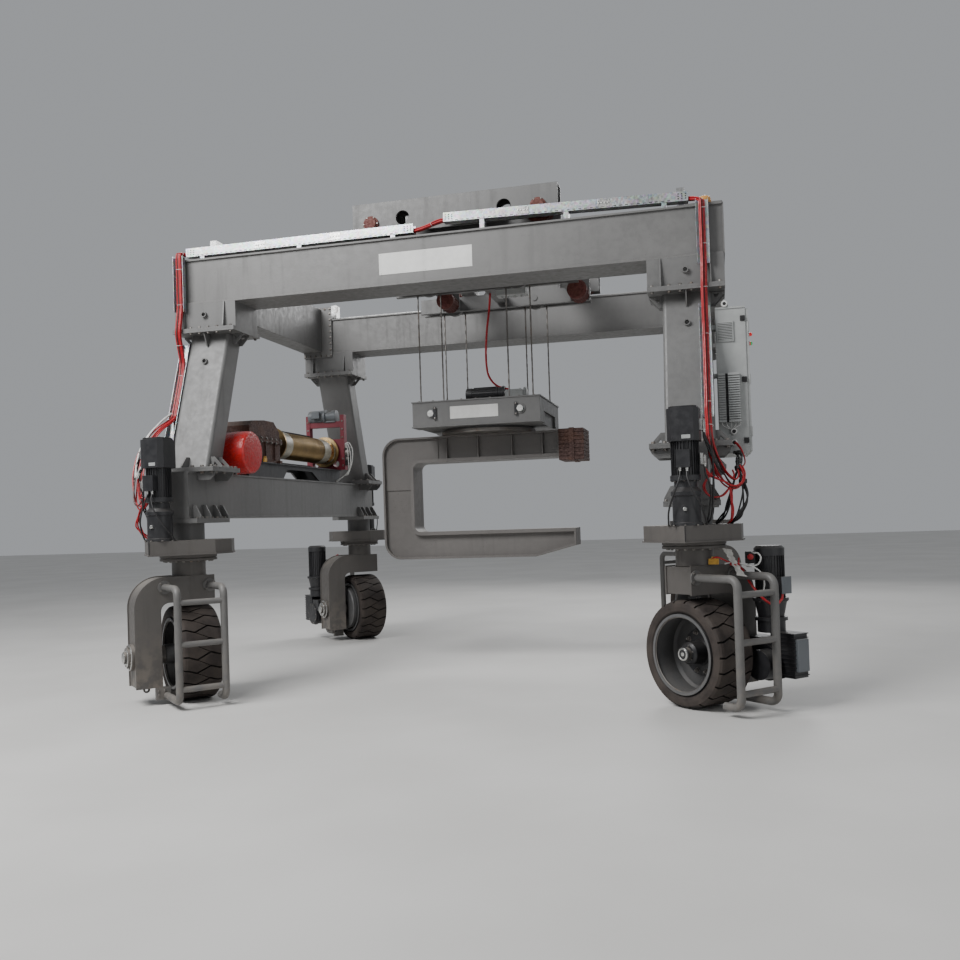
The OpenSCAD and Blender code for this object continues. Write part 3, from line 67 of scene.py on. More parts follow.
class Val:
    """A float socket that takes part in Python arithmetic."""

    def __init__(self, graph: "Graph", socket: bpy.types.NodeSocket) -> None:
        """Wraps one output socket of a graph."""
        self.graph, self.socket = graph, socket

    def _math(self, operation: str, *values: "Val | float") -> "Val":
        """Returns the result of a Math node on the values, in order."""
        made = self.graph.node("ShaderNodeMath", {"operation": operation}, dict(enumerate(values)))
        return Val(self.graph, made.outputs[0])

    def __add__(self, other: "Val | float") -> "Val":
        """Returns the sum."""
        return self._math("ADD", self, other)

    def __sub__(self, other: "Val | float") -> "Val":
        """Returns the difference."""
        return self._math("SUBTRACT", self, other)

    def __rsub__(self, other: float) -> "Val":
        """Returns the difference from a number."""
        return self._math("SUBTRACT", other, self)

    def __mul__(self, other: "Val | float") -> "Val":
        """Returns the product."""
        return self._math("MULTIPLY", self, other)

    __radd__ = __add__
    __rmul__ = __mul__

    def between(self, low: float, high: float) -> "Val":
        """Spreads a range over 0 to 1.

        Args:
            low: the value that gives 0.
            high: the value that gives 1; it may be the lower one.

        Returns:
            A smooth ramp that stays at 0 or 1 outside the range.
        """
        made = self.graph.node("ShaderNodeMapRange", {"interpolation_type": "SMOOTHSTEP"},
                               {"Value": self, "From Min": low, "From Max": high})
        return Val(self.graph, made.outputs["Result"])


class Graph:
    """The node tree of one material, and the calls that build it."""

    def __init__(self, name: str) -> None:
        """Makes an empty material with a Principled shader.

        Args:
            name: the material's name.
        """
        self.material = bpy.data.materials.new(name)
        self.material.use_nodes = True
        self.tree = self.material.node_tree
        self.shader = self.tree.nodes["Principled BSDF"]

    def node(self, kind: str, settings: dict | None = None, sockets: dict | None = None) -> bpy.types.Node:
        """Adds a node.

        Args:
            kind: the node's type.
            settings: its own settings, set first.
            sockets: values or links, by the input's name or number.

        Returns:
            The new node.
        """
        made = self.tree.nodes.new(kind)
        for key, value in (settings or {}).items():
            setattr(made, key, value)
        for key, value in (sockets or {}).items():
            self.feed(made.inputs[key], value)
        return made

    def feed(self, target: bpy.types.NodeSocket, value: object) -> None:
        """Sets or links one input.

        Args:
            target: the input.
            value: a Val, an output socket, a number or a colour.
        """
        if isinstance(value, Val):
            value = value.socket
        if isinstance(value, bpy.types.NodeSocket):
            self.tree.links.new(value, target)
        elif isinstance(value, tuple) and target.type == "RGBA":
            target.default_value = (*value, 1.0)
        else:
            target.default_value = value

    def place(self, stretch: Point = EVEN) -> bpy.types.NodeSocket:
        """Gives the point on the object, in metres.

        Args:
            stretch: the factors along X, Y and Z.

        Returns:
            The vector's socket.
        """
        made = self.node("ShaderNodeTexCoord").outputs["Object"]
        return self.node("ShaderNodeVectorMath", {"operation": "MULTIPLY"}, {0: made, 1: stretch}).outputs[0]

    def noise(self, scale: float, detail: float = 3.0, stretch: Point = EVEN) -> Val:
        """Gives a noise from about 0.3 to 0.7.

        Args:
            scale: cells per metre.
            detail: the octaves.
            stretch: the factors along X, Y and Z.

        Returns:
            The noise.
        """
        made = self.node("ShaderNodeTexNoise", None,
                         {"Vector": self.place(stretch), "Scale": scale, "Detail": detail})
        return Val(self, made.outputs[0])

    def clouds(self, scale: float, detail: float) -> Val:
        """Returns a noise spread over 0 to 1."""
        return self.noise(scale, detail).between(0.3, 0.7)

    def mix(self, first: object, second: object, factor: "Val | float",
            blend: str = "MIX") -> bpy.types.NodeSocket:
        """Mixes two colours.

        Args:
            first: the colour at factor 0.
            second: the colour at factor 1.
            factor: how much of the second.
            blend: the Mix node's blend type.

        Returns:
            The mixed colour's socket.
        """
        made = self.node("ShaderNodeMix", {"data_type": "RGBA", "blend_type": blend},
                         {0: factor, 6: first, 7: second})
        return made.outputs[2]

    def height(self, vector: bpy.types.NodeSocket) -> Val:
        """Returns the Z of a vector."""
        return Val(self, self.node("ShaderNodeSeparateXYZ", None, {0: vector}).outputs[2])

    def upward(self) -> Val:
        """Returns the Z of the surface's normal."""
        return self.height(self.node("ShaderNodeNewGeometry").outputs["Normal"])

    def hollows(self, reach: float, samples: int) -> Val:
        """Returns how open the surface is, with 1 for wide open, looked at over a reach in metres."""
        made = self.node("ShaderNodeAmbientOcclusion", {"samples": samples}, {"Distance": reach})
        return Val(self, made.outputs["AO"])

    def rounded(self, radius: float) -> bpy.types.NodeSocket:
        """Returns a normal that rounds sharp edges by a radius in metres."""
        return self.node("ShaderNodeBevel", {"samples": 4}, {"Radius": radius}).outputs[0]

    def edges(self, radius: float) -> Val:
        """Masks sharp edges.

        Args:
            radius: how far the mask reaches from an edge, in metres.

        Returns:
            1 on sharp edges and 0 on flat faces.
        """
        flat = self.node("ShaderNodeNewGeometry").outputs["Normal"]
        made = self.node("ShaderNodeVectorMath", {"operation": "DOT_PRODUCT"},
                         {0: self.rounded(radius), 1: flat})
        return Val(self, made.outputs["Value"]).between(0.995, 0.86)

    def surface(self, sockets: dict, relief: Val | None = None, depth: float = 0.001,
                radius: float = 0.0) -> bpy.types.Material:
        """Feeds the shader.

        Args:
            sockets: the shader's inputs.
            relief: the height that the bump follows.
            depth: the bump's depth, in metres.
            radius: the rounding of sharp edges, in metres; 0 leaves them sharp.

        Returns:
            The finished material.
        """
        for key, value in sockets.items():
            self.feed(self.shader.inputs[key], value)
        normal = self.rounded(radius) if radius else None
        if relief is not None:
            wires = {"Height": relief, "Distance": depth} | ({} if normal is None else {"Normal": normal})
            normal = self.node("ShaderNodeBump", None, wires).outputs[0]
        if normal is not None:
            self.feed(self.shader.inputs["Normal"], normal)
        return self.material


@dataclass(frozen=True)
class Paint:
    """Satin shop paint on welded steel, with dust, streaks, worn edges and, where set, painted shade in its
    hollows.
    """

    name: str
    colour: Colour
    rough: float = 0.42
    dust: float = 0.35
    worn: float = 0.5
    radius: float = 0.003
    under: Colour = (0.045, 0.036, 0.032)
    mud: float = 0.0
    # How strongly painted shade darkens the paint in its hollows and corners.
    painted_shade: float = 0.0

    def make(self) -> bpy.types.Material:
        """Builds the material, from the clouds in the paint up to the dust on it.

        Returns:
            The material.
        """
        g = Graph("look_" + self.name)
        fine = g.clouds(17.0, 5.0)
        runs = g.noise(1.0, 4.0, (11.0, 11.0, 0.9)).between(0.52, 0.72)
        patches = g.clouds(1.3, 4.0) * 0.65 + fine * 0.35
        base = g.mix(toned(self.colour, 0.86), toned(self.colour, 1.10), patches)
        base = g.mix(base, toned(self.colour, 0.6), runs * 0.17)
        spots = g.noise(48.0, 2.0).between(0.66, 0.72) * g.noise(3.1, 2.0).between(0.48, 0.62)
        edge = g.edges(self.radius * 2.2) * g.noise(23.0, 3.0).between(0.42, 0.58)
        bare = edge * self.worn + spots * (self.worn * 0.55)
        base = g.mix(base, self.under, bare)
        settled = g.upward().between(0.25, 0.95) * (0.45 + 0.55 * g.noise(6.0, 4.0).between(0.35, 0.65))
        splash = g.height(g.place()).between(0.95, 0.05) * g.noise(9.0, 5.0).between(0.38, 0.62)
        base = g.mix(base, DUST, settled * self.dust)
        base = g.mix(base, MUD, splash * self.mud)
        # Painted shade: the paint is darkened in hollows and corners, by the field's amount.
        if self.painted_shade:
            base = g.mix(base, toned(self.colour, 0.12), g.hollows(0.3, 5).between(0.75, 0.25) * self.painted_shade)
        rough = self.rough + 0.16 * fine + settled * 0.3 * self.dust + 0.12 * runs
        relief = g.noise(70.0, 2.0) * 0.6 + g.noise(2.2, 2.0) * 1.2 - bare * 0.5
        return g.surface({"Base Color": base, "Roughness": rough, "Coat Weight": 0.06,
                          "Coat Roughness": 0.3}, relief, 0.0011, self.radius)


@dataclass(frozen=True)
class Metal:
    """Bare or plated metal with fine brushing and stains."""

    name: str
    colour: Colour
    rough: float = 0.34
    stain: float = 0.3
    spangle: bool = False
    stained: Colour = (0.16, 0.11, 0.08)
    radius: float = 0.0015

    def make(self) -> bpy.types.Material:
        """Builds the material.

        Returns:
            The material.
        """
        g = Graph("look_" + self.name)
        fine = g.clouds(60.0, 3.0)
        clouds = g.noise(4.0, 4.0).between(0.35, 0.65)
        base = g.mix(toned(self.colour, 0.78), self.colour, clouds)
        if self.spangle:
            cells = g.node("ShaderNodeTexVoronoi", None, {"Vector": g.place(), "Scale": 34.0})
            base = g.mix(base, g.mix(base, cells.outputs["Color"], 0.5, "SOFT_LIGHT"), 0.55)
        spots = g.noise(7.5, 5.0).between(0.55, 0.74) * self.stain
        base = g.mix(base, self.stained, spots)
        return g.surface({"Base Color": base, "Roughness": self.rough + 0.14 * fine + spots * 0.4,
                          "Metallic": 1.0 - spots * 0.9}, fine + clouds, 0.0004, self.radius)


@dataclass(frozen=True)
class Rust:
    """Red-brown primer over rusty plate."""

    name: str
    colour: Colour
    rust: Colour
    share: float
    radius: float = 0.003

    def make(self) -> bpy.types.Material:
        """Builds the material.

        Returns:
            The material.
        """
        g = Graph("look_" + self.name)
        blots = g.noise(6.0, 6.0).between(0.42, 0.62)
        fine = g.clouds(44.0, 5.0)
        base = g.mix(self.colour, toned(self.colour, 0.55), fine)
        base = g.mix(base, self.rust, blots * self.share)
        base = g.mix(base, (0.32, 0.29, 0.26), g.upward().between(0.3, 1.0) * 0.3)
        return g.surface({"Base Color": base, "Roughness": 0.62 + 0.25 * fine},
                         g.noise(120.0, 3.0) + blots * 0.8, 0.0016, self.radius)


@dataclass(frozen=True)
class Rubber:
    """Dusty solid tyre rubber, paler on the lugs' edges as a painted highlight, and dark in the grooves as
    painted shade.
    """

    name: str
    colour: Colour
    dust: float

    def make(self) -> bpy.types.Material:
        """Builds the material.

        Returns:
            The material.
        """
        g = Graph("look_" + self.name)
        fine = g.clouds(38.0, 6.0)
        base = g.mix(self.colour, toned(self.colour, 1.7), fine)
        # Dust patches, plus a paler dust colour on the lugs' sharp edges that is a painted highlight.
        film = g.noise(5.0, 4.0).between(0.35, 0.65) * 0.55 + g.edges(0.012) * 0.45
        base = g.mix(base, (0.20, 0.165, 0.135), film * self.dust)
        # Painted shade: near-black is mixed into the grooves and other hollows.
        base = g.mix(base, GROOVE_SHADE, g.hollows(0.06, 6).between(0.96, 0.42) * 0.9)
        return g.surface({"Base Color": base, "Roughness": 0.66 + 0.2 * fine,
                          "Specular IOR Level": 0.35}, g.noise(150.0, 4.0), 0.0008, 0.005)


@dataclass(frozen=True)
class Plastic:
    """Smooth plastic, such as a cable's sheath, a lamp or a film wrap."""

    name: str
    colour: Colour
    rough: float = 0.4
    dust: float = 0.2
    glow: float = 0.0
    crumple: float = 0.0

    def make(self) -> bpy.types.Material:
        """Builds the material.

        Returns:
            The material.
        """
        g = Graph("look_" + self.name)
        fine = g.clouds(30.0, 4.0)
        base = g.mix(self.colour, toned(self.colour, 0.72), fine)
        base = g.mix(base, (0.4, 0.37, 0.34), g.upward().between(0.2, 1.0) * self.dust * fine)
        relief = g.noise(26.0, 4.0) * self.crumple + g.noise(200.0, 2.0) * 0.1
        wires = {"Base Color": base, "Roughness": self.rough + 0.15 * fine}
        if self.glow:
            wires |= {"Emission Color": self.colour, "Emission Strength": self.glow}
        return g.surface(wires, relief, 0.004 if self.crumple else 0.0006)


class Finish(Enum):
    """The finishes of the crane."""

    GREY = Paint("grey_paint", (0.122, 0.121, 0.119), dust=0.25)
    GIRDER = Paint("girder_paint", (0.132, 0.130, 0.127), dust=0.25)
    CORNER = Paint("corner_paint", (0.086, 0.079, 0.073), mud=0.3)
    GUARD = Paint("guard_paint", (0.118, 0.115, 0.111), radius=0.001, dust=0.2, mud=0.2)
    HOOK = Paint("hook_paint", (0.118, 0.110, 0.104), worn=0.7, dust=0.3)
    BLACK = Paint("black_drive", (0.016, 0.016, 0.018), rough=0.32, dust=0.12, worn=0.25, radius=0.002,
                  under=(0.08, 0.07, 0.06))
    CASE = Paint("grey_blue_case", (0.118, 0.130, 0.142), rough=0.4, worn=0.4)
    DARK = Metal("dark_steel", (0.24, 0.225, 0.21), rough=0.42, stain=0.8)
    RAIL = Metal("rail_steel", (0.40, 0.40, 0.395), rough=0.32, stain=0.35)
    BRIGHT = Metal("bright_steel", (0.62, 0.62, 0.60), rough=0.24, stain=0.15)
    ZINC = Metal("galvanised", (0.50, 0.52, 0.53), rough=0.30, stain=0.05, spangle=True)
    BRASS = Metal("brass_drum", (0.29, 0.205, 0.10), rough=0.30, stain=0.5)
    GOLD = Metal("gold_end", (0.72, 0.50, 0.18), rough=0.22, stain=0.2)
    CABLE = Plastic("red_cable", (0.43, 0.009, 0.016), rough=0.34, dust=0.1)
    FILM = Plastic("red_wrap", (0.52, 0.022, 0.022), rough=0.22, crumple=1.0, dust=0.1)
    PRIMER = Rust("brown_primer", (0.075, 0.036, 0.029), (0.105, 0.046, 0.027), 0.45)
    MAROON = Rust("maroon_primer", (0.135, 0.034, 0.028), (0.12, 0.045, 0.028), 0.35)
    CRIMSON = Paint("crimson_paint", (0.165, 0.009, 0.022), rough=0.38, dust=0.2)
    CABINET = Paint("cabinet_paint", (0.34, 0.35, 0.345), rough=0.45, dust=0.12, worn=0.1, radius=0.002)
    # The rim's paint carries strong painted shade in its hollows, darkening the deep dish.
    RIM = Paint("rim_paint", (0.098, 0.098, 0.099), rough=0.34, dust=0.1, mud=0.06, painted_shade=0.75)
    TYRE = Rubber("tyre", (0.022, 0.0172, 0.0155), dust=0.25)
    LAMP_RED = Plastic("lamp_glass", (0.60, 0.02, 0.02), rough=0.12, dust=0.0, glow=0.4)
    AMBER = Plastic("amber_dome", (0.62, 0.30, 0.08), rough=0.15, dust=0.1)
    GREEN = Plastic("green_lamp", (0.02, 0.42, 0.12), rough=0.12, dust=0.0, glow=0.3)
    WHITE = Plastic("white_plastic", (0.68, 0.68, 0.66))
    BROWN = Plastic("brown_cable", (0.075, 0.020, 0.018), rough=0.45)
    SHEATH = Plastic("black_sheath", (0.014, 0.013, 0.014), dust=0.12)
    YELLOW = Plastic("yellow_tag", (0.60, 0.33, 0.045))
    SHEET = Plastic("pale_film", (0.56, 0.55, 0.52), rough=0.25, crumple=0.8, dust=0.1)
    FOIL = Plastic("drum_foil", (0.37, 0.35, 0.28), rough=0.3, crumple=0.5, dust=0.1)
    BARE = Paint("bare_plate", (0.60, 0.60, 0.58), rough=0.36, dust=0.1, worn=0.1, radius=0.001)

    @property
    def material(self) -> bpy.types.Material:
        """The finish's material, built on its first use."""
        return bpy.data.materials.get("look_" + self.value.name) or self.value.make()

    @property
    def slot(self) -> str:
        """The record's material slot for the finish."""
        return SLOTS.get(self.value.name, self.value.name)


SLOTS = {name: slot for slot, names in {
    "grey_paint": ("girder_paint", "corner_paint", "guard_paint", "hook_paint"),
    "cabinet_paint": ("white_plastic", "bare_plate", "pale_film", "drum_foil"),
    "black_drive": ("brown_cable", "grey_blue_case", "black_sheath"),
    "lamp_glass": ("green_lamp",), "galvanised": ("bright_steel",), "dark_steel": ("rail_steel",),
    "brass_drum": ("gold_end",), "brown_primer": ("maroon_primer",), "amber_dome": ("yellow_tag",),
}.items() for name in names}
CORNERS = (("front_left", -1, -1, False), ("front_right", 1, -1, True),
           ("back_left", -1, 1, True), ("back_right", 1, 1, False))
NODE_FINISH = {node: finish for finish, nodes in {
    Finish.GIRDER: "front_girder back_girder end_beams",
    Finish.GREY: "saddle_blocks left_sill right_sill trolley_frame spreader_beam",
    Finish.CORNER: "gear_covers",
    Finish.BLACK: "steering_drives winch_base spreader_motor front_right_drive back_left_drive",
    Finish.RAIL: "crane_rails",
    Finish.ZINC: "cable_trays spreader_sheaves",
    Finish.CABLE: "power_cables spreader_cable",
    Finish.FILM: "winch_motor",
    Finish.PRIMER: "winch_gearbox counterweight",
    Finish.CRIMSON: "winch_end_frame",
    Finish.BRASS: "rope_drum",
    Finish.CABINET: "cabinet cabinet_fittings cabinet_door",
    Finish.LAMP_RED: "signal_lamps",
    Finish.AMBER: "beacon",
    Finish.MAROON: "trolley_wheels trolley_drives",
    Finish.DARK: "hoist_ropes turntable",
    Finish.HOOK: "coil_hook",
}.items() for node in nodes.split()}
NODE_FINISH |= {f"{corner[0]}_{part}": finish for corner in CORNERS for part, finish in (
    ("leg", Finish.GREY), ("arm", Finish.CORNER), ("guard", Finish.GUARD), ("rim", Finish.RIM),
    ("tyre", Finish.TYRE))}


def dress_nodes() -> None:
    """Gives every node of the frame its finish."""
    for name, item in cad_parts.items():
        material = NODE_FINISH[name].material
        if not item.data.materials:
            item.data.materials.append(material)
        for holder in item.material_slots:
            holder.material = material
    log.info("dressed %d nodes", len(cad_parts))


@dataclass(frozen=True)
class Studio:
    """Camera, pale floor and soft light."""

    eye: Point = (2.897, -11.814, 1.839)
    yaw: float = 14.0
    pitch: float = 0.8
    roll: float = -1.9
    lens: float = 35.6
    shift: tuple[float, float] = (0.00135, 0.0272)
    lamps: tuple = (("key", (-5.0, -9.0, 10.5), (0.0, 0.0, 2.4), 6.0, 2050.0),
                    ("fill", (9.5, -8.5, 5.0), (0.5, 0.0, 2.2), 8.0, 160.0),
                    ("back", (2.0, 10.0, 9.0), (0.0, 0.0, 3.0), 7.0, 850.0))
    sky: tuple[float, float, float, float] = (0.90, 0.93, 0.97, 1.0)
    sky_power: float = 0.38
    floor_reach: float = 60.0

    def camera(self) -> None:
        """Sets the camera at the photograph's angle."""
        yaw, pitch, roll = (math.radians(a) for a in (self.yaw, self.pitch, self.roll))
        ahead = Vector((-math.sin(yaw) * math.cos(pitch), math.cos(yaw) * math.cos(pitch), math.sin(pitch)))
        right = Vector((math.cos(yaw), math.sin(yaw), 0.0))
        up = right.cross(ahead)
        side = right * math.cos(roll) + up * math.sin(roll)
        top = up * math.cos(roll) - right * math.sin(roll)
        lens = bpy.data.cameras.new("camera")
        lens.lens, lens.sensor_width, lens.clip_end = self.lens, 36.0, 200.0
        lens.shift_x, lens.shift_y = self.shift
        eye = bpy.data.objects.new("camera", lens)
        turn = Matrix((side, top, -ahead)).transposed().to_4x4()
        eye.matrix_world = Matrix.Translation(self.eye) @ turn
        bpy.context.scene.collection.objects.link(eye)
        bpy.context.scene.camera = eye

    def light(self) -> None:
        """Adds three soft lights and a pale surround."""
        for name, place, aim, size, power in self.lamps:
            lamp = bpy.data.lights.new(name, "AREA")
            lamp.shape, lamp.size, lamp.energy = "SQUARE", size, power
            item = bpy.data.objects.new(name, lamp)
            item.location = place
            item.rotation_euler = (Vector(aim) - Vector(place)).to_track_quat("-Z", "Y").to_euler()
            bpy.context.scene.collection.objects.link(item)
        world = bpy.data.worlds.new("surround")
        world.use_nodes = True
        glow = world.node_tree.nodes["Background"].inputs
        glow[0].default_value, glow[1].default_value = self.sky, self.sky_power
        bpy.context.scene.world = world

    def floor(self) -> None:
        """Lays the pale floor."""
        mesh = bpy.data.meshes.new("floor")
        reach = self.floor_reach
        corners = [(-reach, -reach, 0), (reach, -reach, 0), (reach, reach, 0), (-reach, reach, 0)]
        mesh.from_pydata(corners, [], [(0, 1, 2, 3)])
        item = bpy.data.objects.new("floor", mesh)
        g = Graph("floor")
        tone = g.mix((0.56, 0.55, 0.53), (0.62, 0.61, 0.59), g.clouds(0.5, 4.0))
        mesh.materials.append(g.surface({"Base Color": tone, "Roughness": 0.62}))
        bpy.context.scene.collection.objects.link(item)


def spot(point: Point, axis: Point = UP, turn: float = 0.0) -> Matrix:
    """Gives a place in millimetres.

    Args:
        point: where it is.
        axis: its Z direction.
        turn: the turn about that direction, in degrees.

    Returns:
        The place's matrix.
    """
    return (Matrix.Translation(point) @ Vector(axis).to_track_quat("Z", "Y").to_matrix().to_4x4()
            @ Matrix.Rotation(math.radians(turn), 4, "Z"))


def around(count: int, start: float = 0.0) -> list[tuple[float, float]]:
    """Returns the cosine and sine of even steps of a full turn, from an angle in degrees."""
    angles = [math.radians(start + 360 * k / count) for k in range(count)]
    return [(math.cos(a), math.sin(a)) for a in angles]


def curve(points: Iterable[Point], steps: int = 6) -> list[Vector]:
    """Draws a smooth line through points.

    Args:
        points: the points, in order.
        steps: how many pieces each span gets.

    Returns:
        The line's points.
    """
    p = [Vector(q) for q in points]
    line = []
    for k in range(len(p) - 1):
        a, b, c, d = p[max(k - 1, 0)], p[k], p[k + 1], p[min(k + 2, len(p) - 1)]
        bend, twist = 2 * a - 5 * b + 4 * c - d, 3 * b - a - 3 * c + d
        for t in (j / steps for j in range(steps)):
            line.append(b + 0.5 * t * ((c - a) + t * (bend + t * twist)))
    return [*line, p[-1]]


def across(ahead: Vector, side: Vector) -> Vector:
    """Returns the direction square to a line that is nearest to a side."""
    side = side - ahead * side.dot(ahead)
    return (side if side.length > 0.05 else ahead.orthogonal()).normalized()


def heading(path: list[Vector], k: int) -> Vector:
    """Returns the direction of a line at one of its points."""
    return (path[min(k + 1, len(path) - 1)] - path[max(k - 1, 0)]).normalized()


class Former:
    """Shapes gathered in one mesh, in millimetres, that becomes one piece on a body."""

    def __init__(self, name: str, finish: Finish, body: str = "frame", base: Matrix | None = None) -> None:
        """Starts an empty piece.

        Args:
            name: the piece's name.
            finish: its finish.
            body: the body that it rides on.
            base: the place that all its shapes are given in.
        """
        self.name, self.finish, self.body = name, finish, body
        self.base = base or Matrix.Identity(4)
        self.mesh = bmesh.new()

    def skin(self, rings: list[list[Vector]], closed: bool = False) -> None:
        """Joins rings of equal count with faces.

        Args:
            rings: the rings, in order.
            closed: whether the last ring joins the first; otherwise both are filled.
        """
        rows = [[self.mesh.verts.new(self.base @ q) for q in ring] for ring in rings]
        for low, high in zip(rows, rows[1:] + (rows[:1] if closed else [])):
            for k in range(len(low)):
                self.mesh.faces.new((low[k - 1], low[k], high[k], high[k - 1]))
        if not closed:
            self.mesh.faces.new(rows[0][::-1])
            self.mesh.faces.new(rows[-1])

    def lathe(self, profile: Profile, place: Matrix, sides: int = 24, closed: bool = False) -> None:
        """Turns a profile round a place's Z.

        Args:
            profile: radius and height of each point.
            place: where it stands.
            sides: the count of its sides.
            closed: whether the profile is a ring's section.
        """
        self.skin([[place @ Vector((r * c, r * s, h)) for c, s in around(sides)] for r, h in profile], closed)

    def slab(self, size: Point, place: Matrix, soft: float = 2.0) -> None:
        """Adds a block with all its edges cut, standing on a place.

        Args:
            size: its width, depth and height.
            place: the middle of its foot.
            soft: the width of the cut edges.
        """
        rings = []
        for inset, height in ((soft, 0.0), (0.0, soft), (0.0, size[2] - soft), (soft, size[2])):
            w, d, c = size[0] / 2 - inset, size[1] / 2 - inset, soft
            outline = ((w, d - c), (w - c, d), (c - w, d), (-w, d - c),
                       (-w, c - d), (c - w, -d), (w - c, -d), (w, c - d))
            rings.append([place @ Vector((x, y, height)) for x, y in outline])
        self.skin(rings)

    def tube(self, path: list[Vector], radius: float, sides: int = 10,
             lobes: tuple[int, float, float] = (0, 0.0, 0.0)) -> None:
        """Sweeps a round or a lobed section along a line.

        Args:
            path: the line.
            radius: the section's radius.
            sides: the count of its sides.
            lobes: for a twisted rope, the strands, their depth and the turns per millimetre.
        """
        count, depth, twist = lobes
        rings, side, walked = [], Vector(UP), 0.0
        for k, point in enumerate(path):
            ahead = heading(path, k)
            side = across(ahead, side)
            other = ahead.cross(side)
            walked += (point - path[k - 1]).length if k else 0.0
            ring = []
            for m in range(sides):
                angle = math.tau * m / sides
                r = radius - depth * (0.5 + 0.5 * math.cos(count * angle + math.tau * walked * twist))
                ring.append(point + side * (r * math.cos(angle)) + other * (r * math.sin(angle)))
            rings.append(ring)
        self.skin(rings)

    def bolt(self, place: Matrix, width: float = 24.0, height: float = 0.0) -> None:
        """Adds a hexagon bolt head on its washer.

        Args:
            place: the middle of its seat.
            width: the width across the head.
            height: the head's height; 0 takes it from the width.
        """
        r, tall = width * 0.577, height or width * 0.62
        self.lathe(((r * 1.26, -1.0), (r * 1.26, 2.6), (r * 1.15, 3.2), (r * 0.6, 3.2)), place, 14)
        self.lathe(((r, 3.0), (r, tall * 0.84), (r * 0.84, tall)), place, 6)

    def bolt_ring(self, place: Matrix, radius: float, count: int, width: float, start: float = 0.0) -> None:
        """Adds bolts on a circle round a place's Z.

        Args:
            place: the circle's middle.
            radius: the circle's radius.
            count: how many bolts.
            width: the width across a head.
            start: the angle of the first, in degrees.
        """
        for c, s in around(count, start):
            self.bolt(place @ Matrix.Translation((radius * c, radius * s, 0)), width)

    def bolt_face(self, points: Iterable[Point], axis: Point, width: float) -> None:
        """Adds bolts at points of one face.

        Args:
            points: the middles of their seats.
            axis: the face's direction.
            width: the width across a head.
        """
        for point in points:
            self.bolt(spot(point, axis), width)

    def done(self, *nodes: str, bend: tuple[str, Point, Point] | None = None) -> bpy.types.Object:
        """Turns the shapes into a piece.

        Args:
            nodes: the nodes that it stands for.
            bend: given for a piece between two bodies; such a piece is baked in place and left on no body, and
                the other body and the turn's start and end that it holds are not used.

        Returns:
            The piece.
        """
        bmesh.ops.recalc_face_normals(self.mesh, faces=self.mesh.faces)
        bmesh.ops.scale(self.mesh, vec=(0.001, 0.001, 0.001), verts=self.mesh.verts)
        for face in self.mesh.faces:
            face.smooth = True
        for edge in self.mesh.edges:
            if len(edge.link_faces) == 2 and edge.calc_face_angle(0.0) > math.radians(34):
                edge.smooth = False
        data = bpy.data.meshes.new(self.name)
        self.mesh.to_mesh(data)
        self.mesh.free()
        data.materials.append(self.finish.material)
        item = bpy.data.objects.new(self.name, data)
        bpy.context.scene.collection.objects.link(item)
        if nodes:
            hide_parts(*nodes)
        if bend:
            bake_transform(item)
        else:
            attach(item, self.body)
        log.info("%s: %d faces", self.name, len(data.polygons))
        return item


def block(name: str, finish: Finish, slabs: Iterable[tuple], body: str = "frame",
          base: Matrix | None = None) -> None:
    """Builds a piece of blocks alone.

    Args:
        name: the piece's name.
        finish: its finish.
        slabs: the arguments of each block.
        body: the body that it rides on.
        base: the place that its shapes are given in.
    """
    former = Former(name, finish, body, base)
    for slab in slabs:
        former.slab(*slab)
    former.done()


def leads(name: str, finish: Finish, runs: Iterable[tuple], body: str = "frame",
          base: Matrix | None = None) -> None:
    """Builds a piece of curved leads alone.

    Args:
        name: the piece's name.
        finish: its finish.
        runs: each lead's points, radius and sides.
        body: the body that it rides on.
        base: the place that its shapes are given in.
    """
    former = Former(name, finish, body, base)
    for points, radius, sides in runs:
        former.tube(curve(points), radius, sides)
    former.done()


HUB_Z = 508.0
PIN = (2685.0, 2550.0)
ARM_TOP, RING_Z, COVER_Z, COVER_TOP = 1340.0, 1500.0, 1566.3, 1721.3
SILL_Z, SILL_TOP, FOOT_Z = 1949.3, 2454.3, 2504.3
LEG_TOP, SADDLE_Z, GIRDER_Z, GIRDER_TOP = 4099.3, 4124.3, 4412.3, 4930.3
GIRDER_Y, GIRDER_HALF, FOOT_Y = 1793.0, 3078.0, 2355.0
LEAN = math.atan2(FOOT_Y - GIRDER_Y, 1570.0)


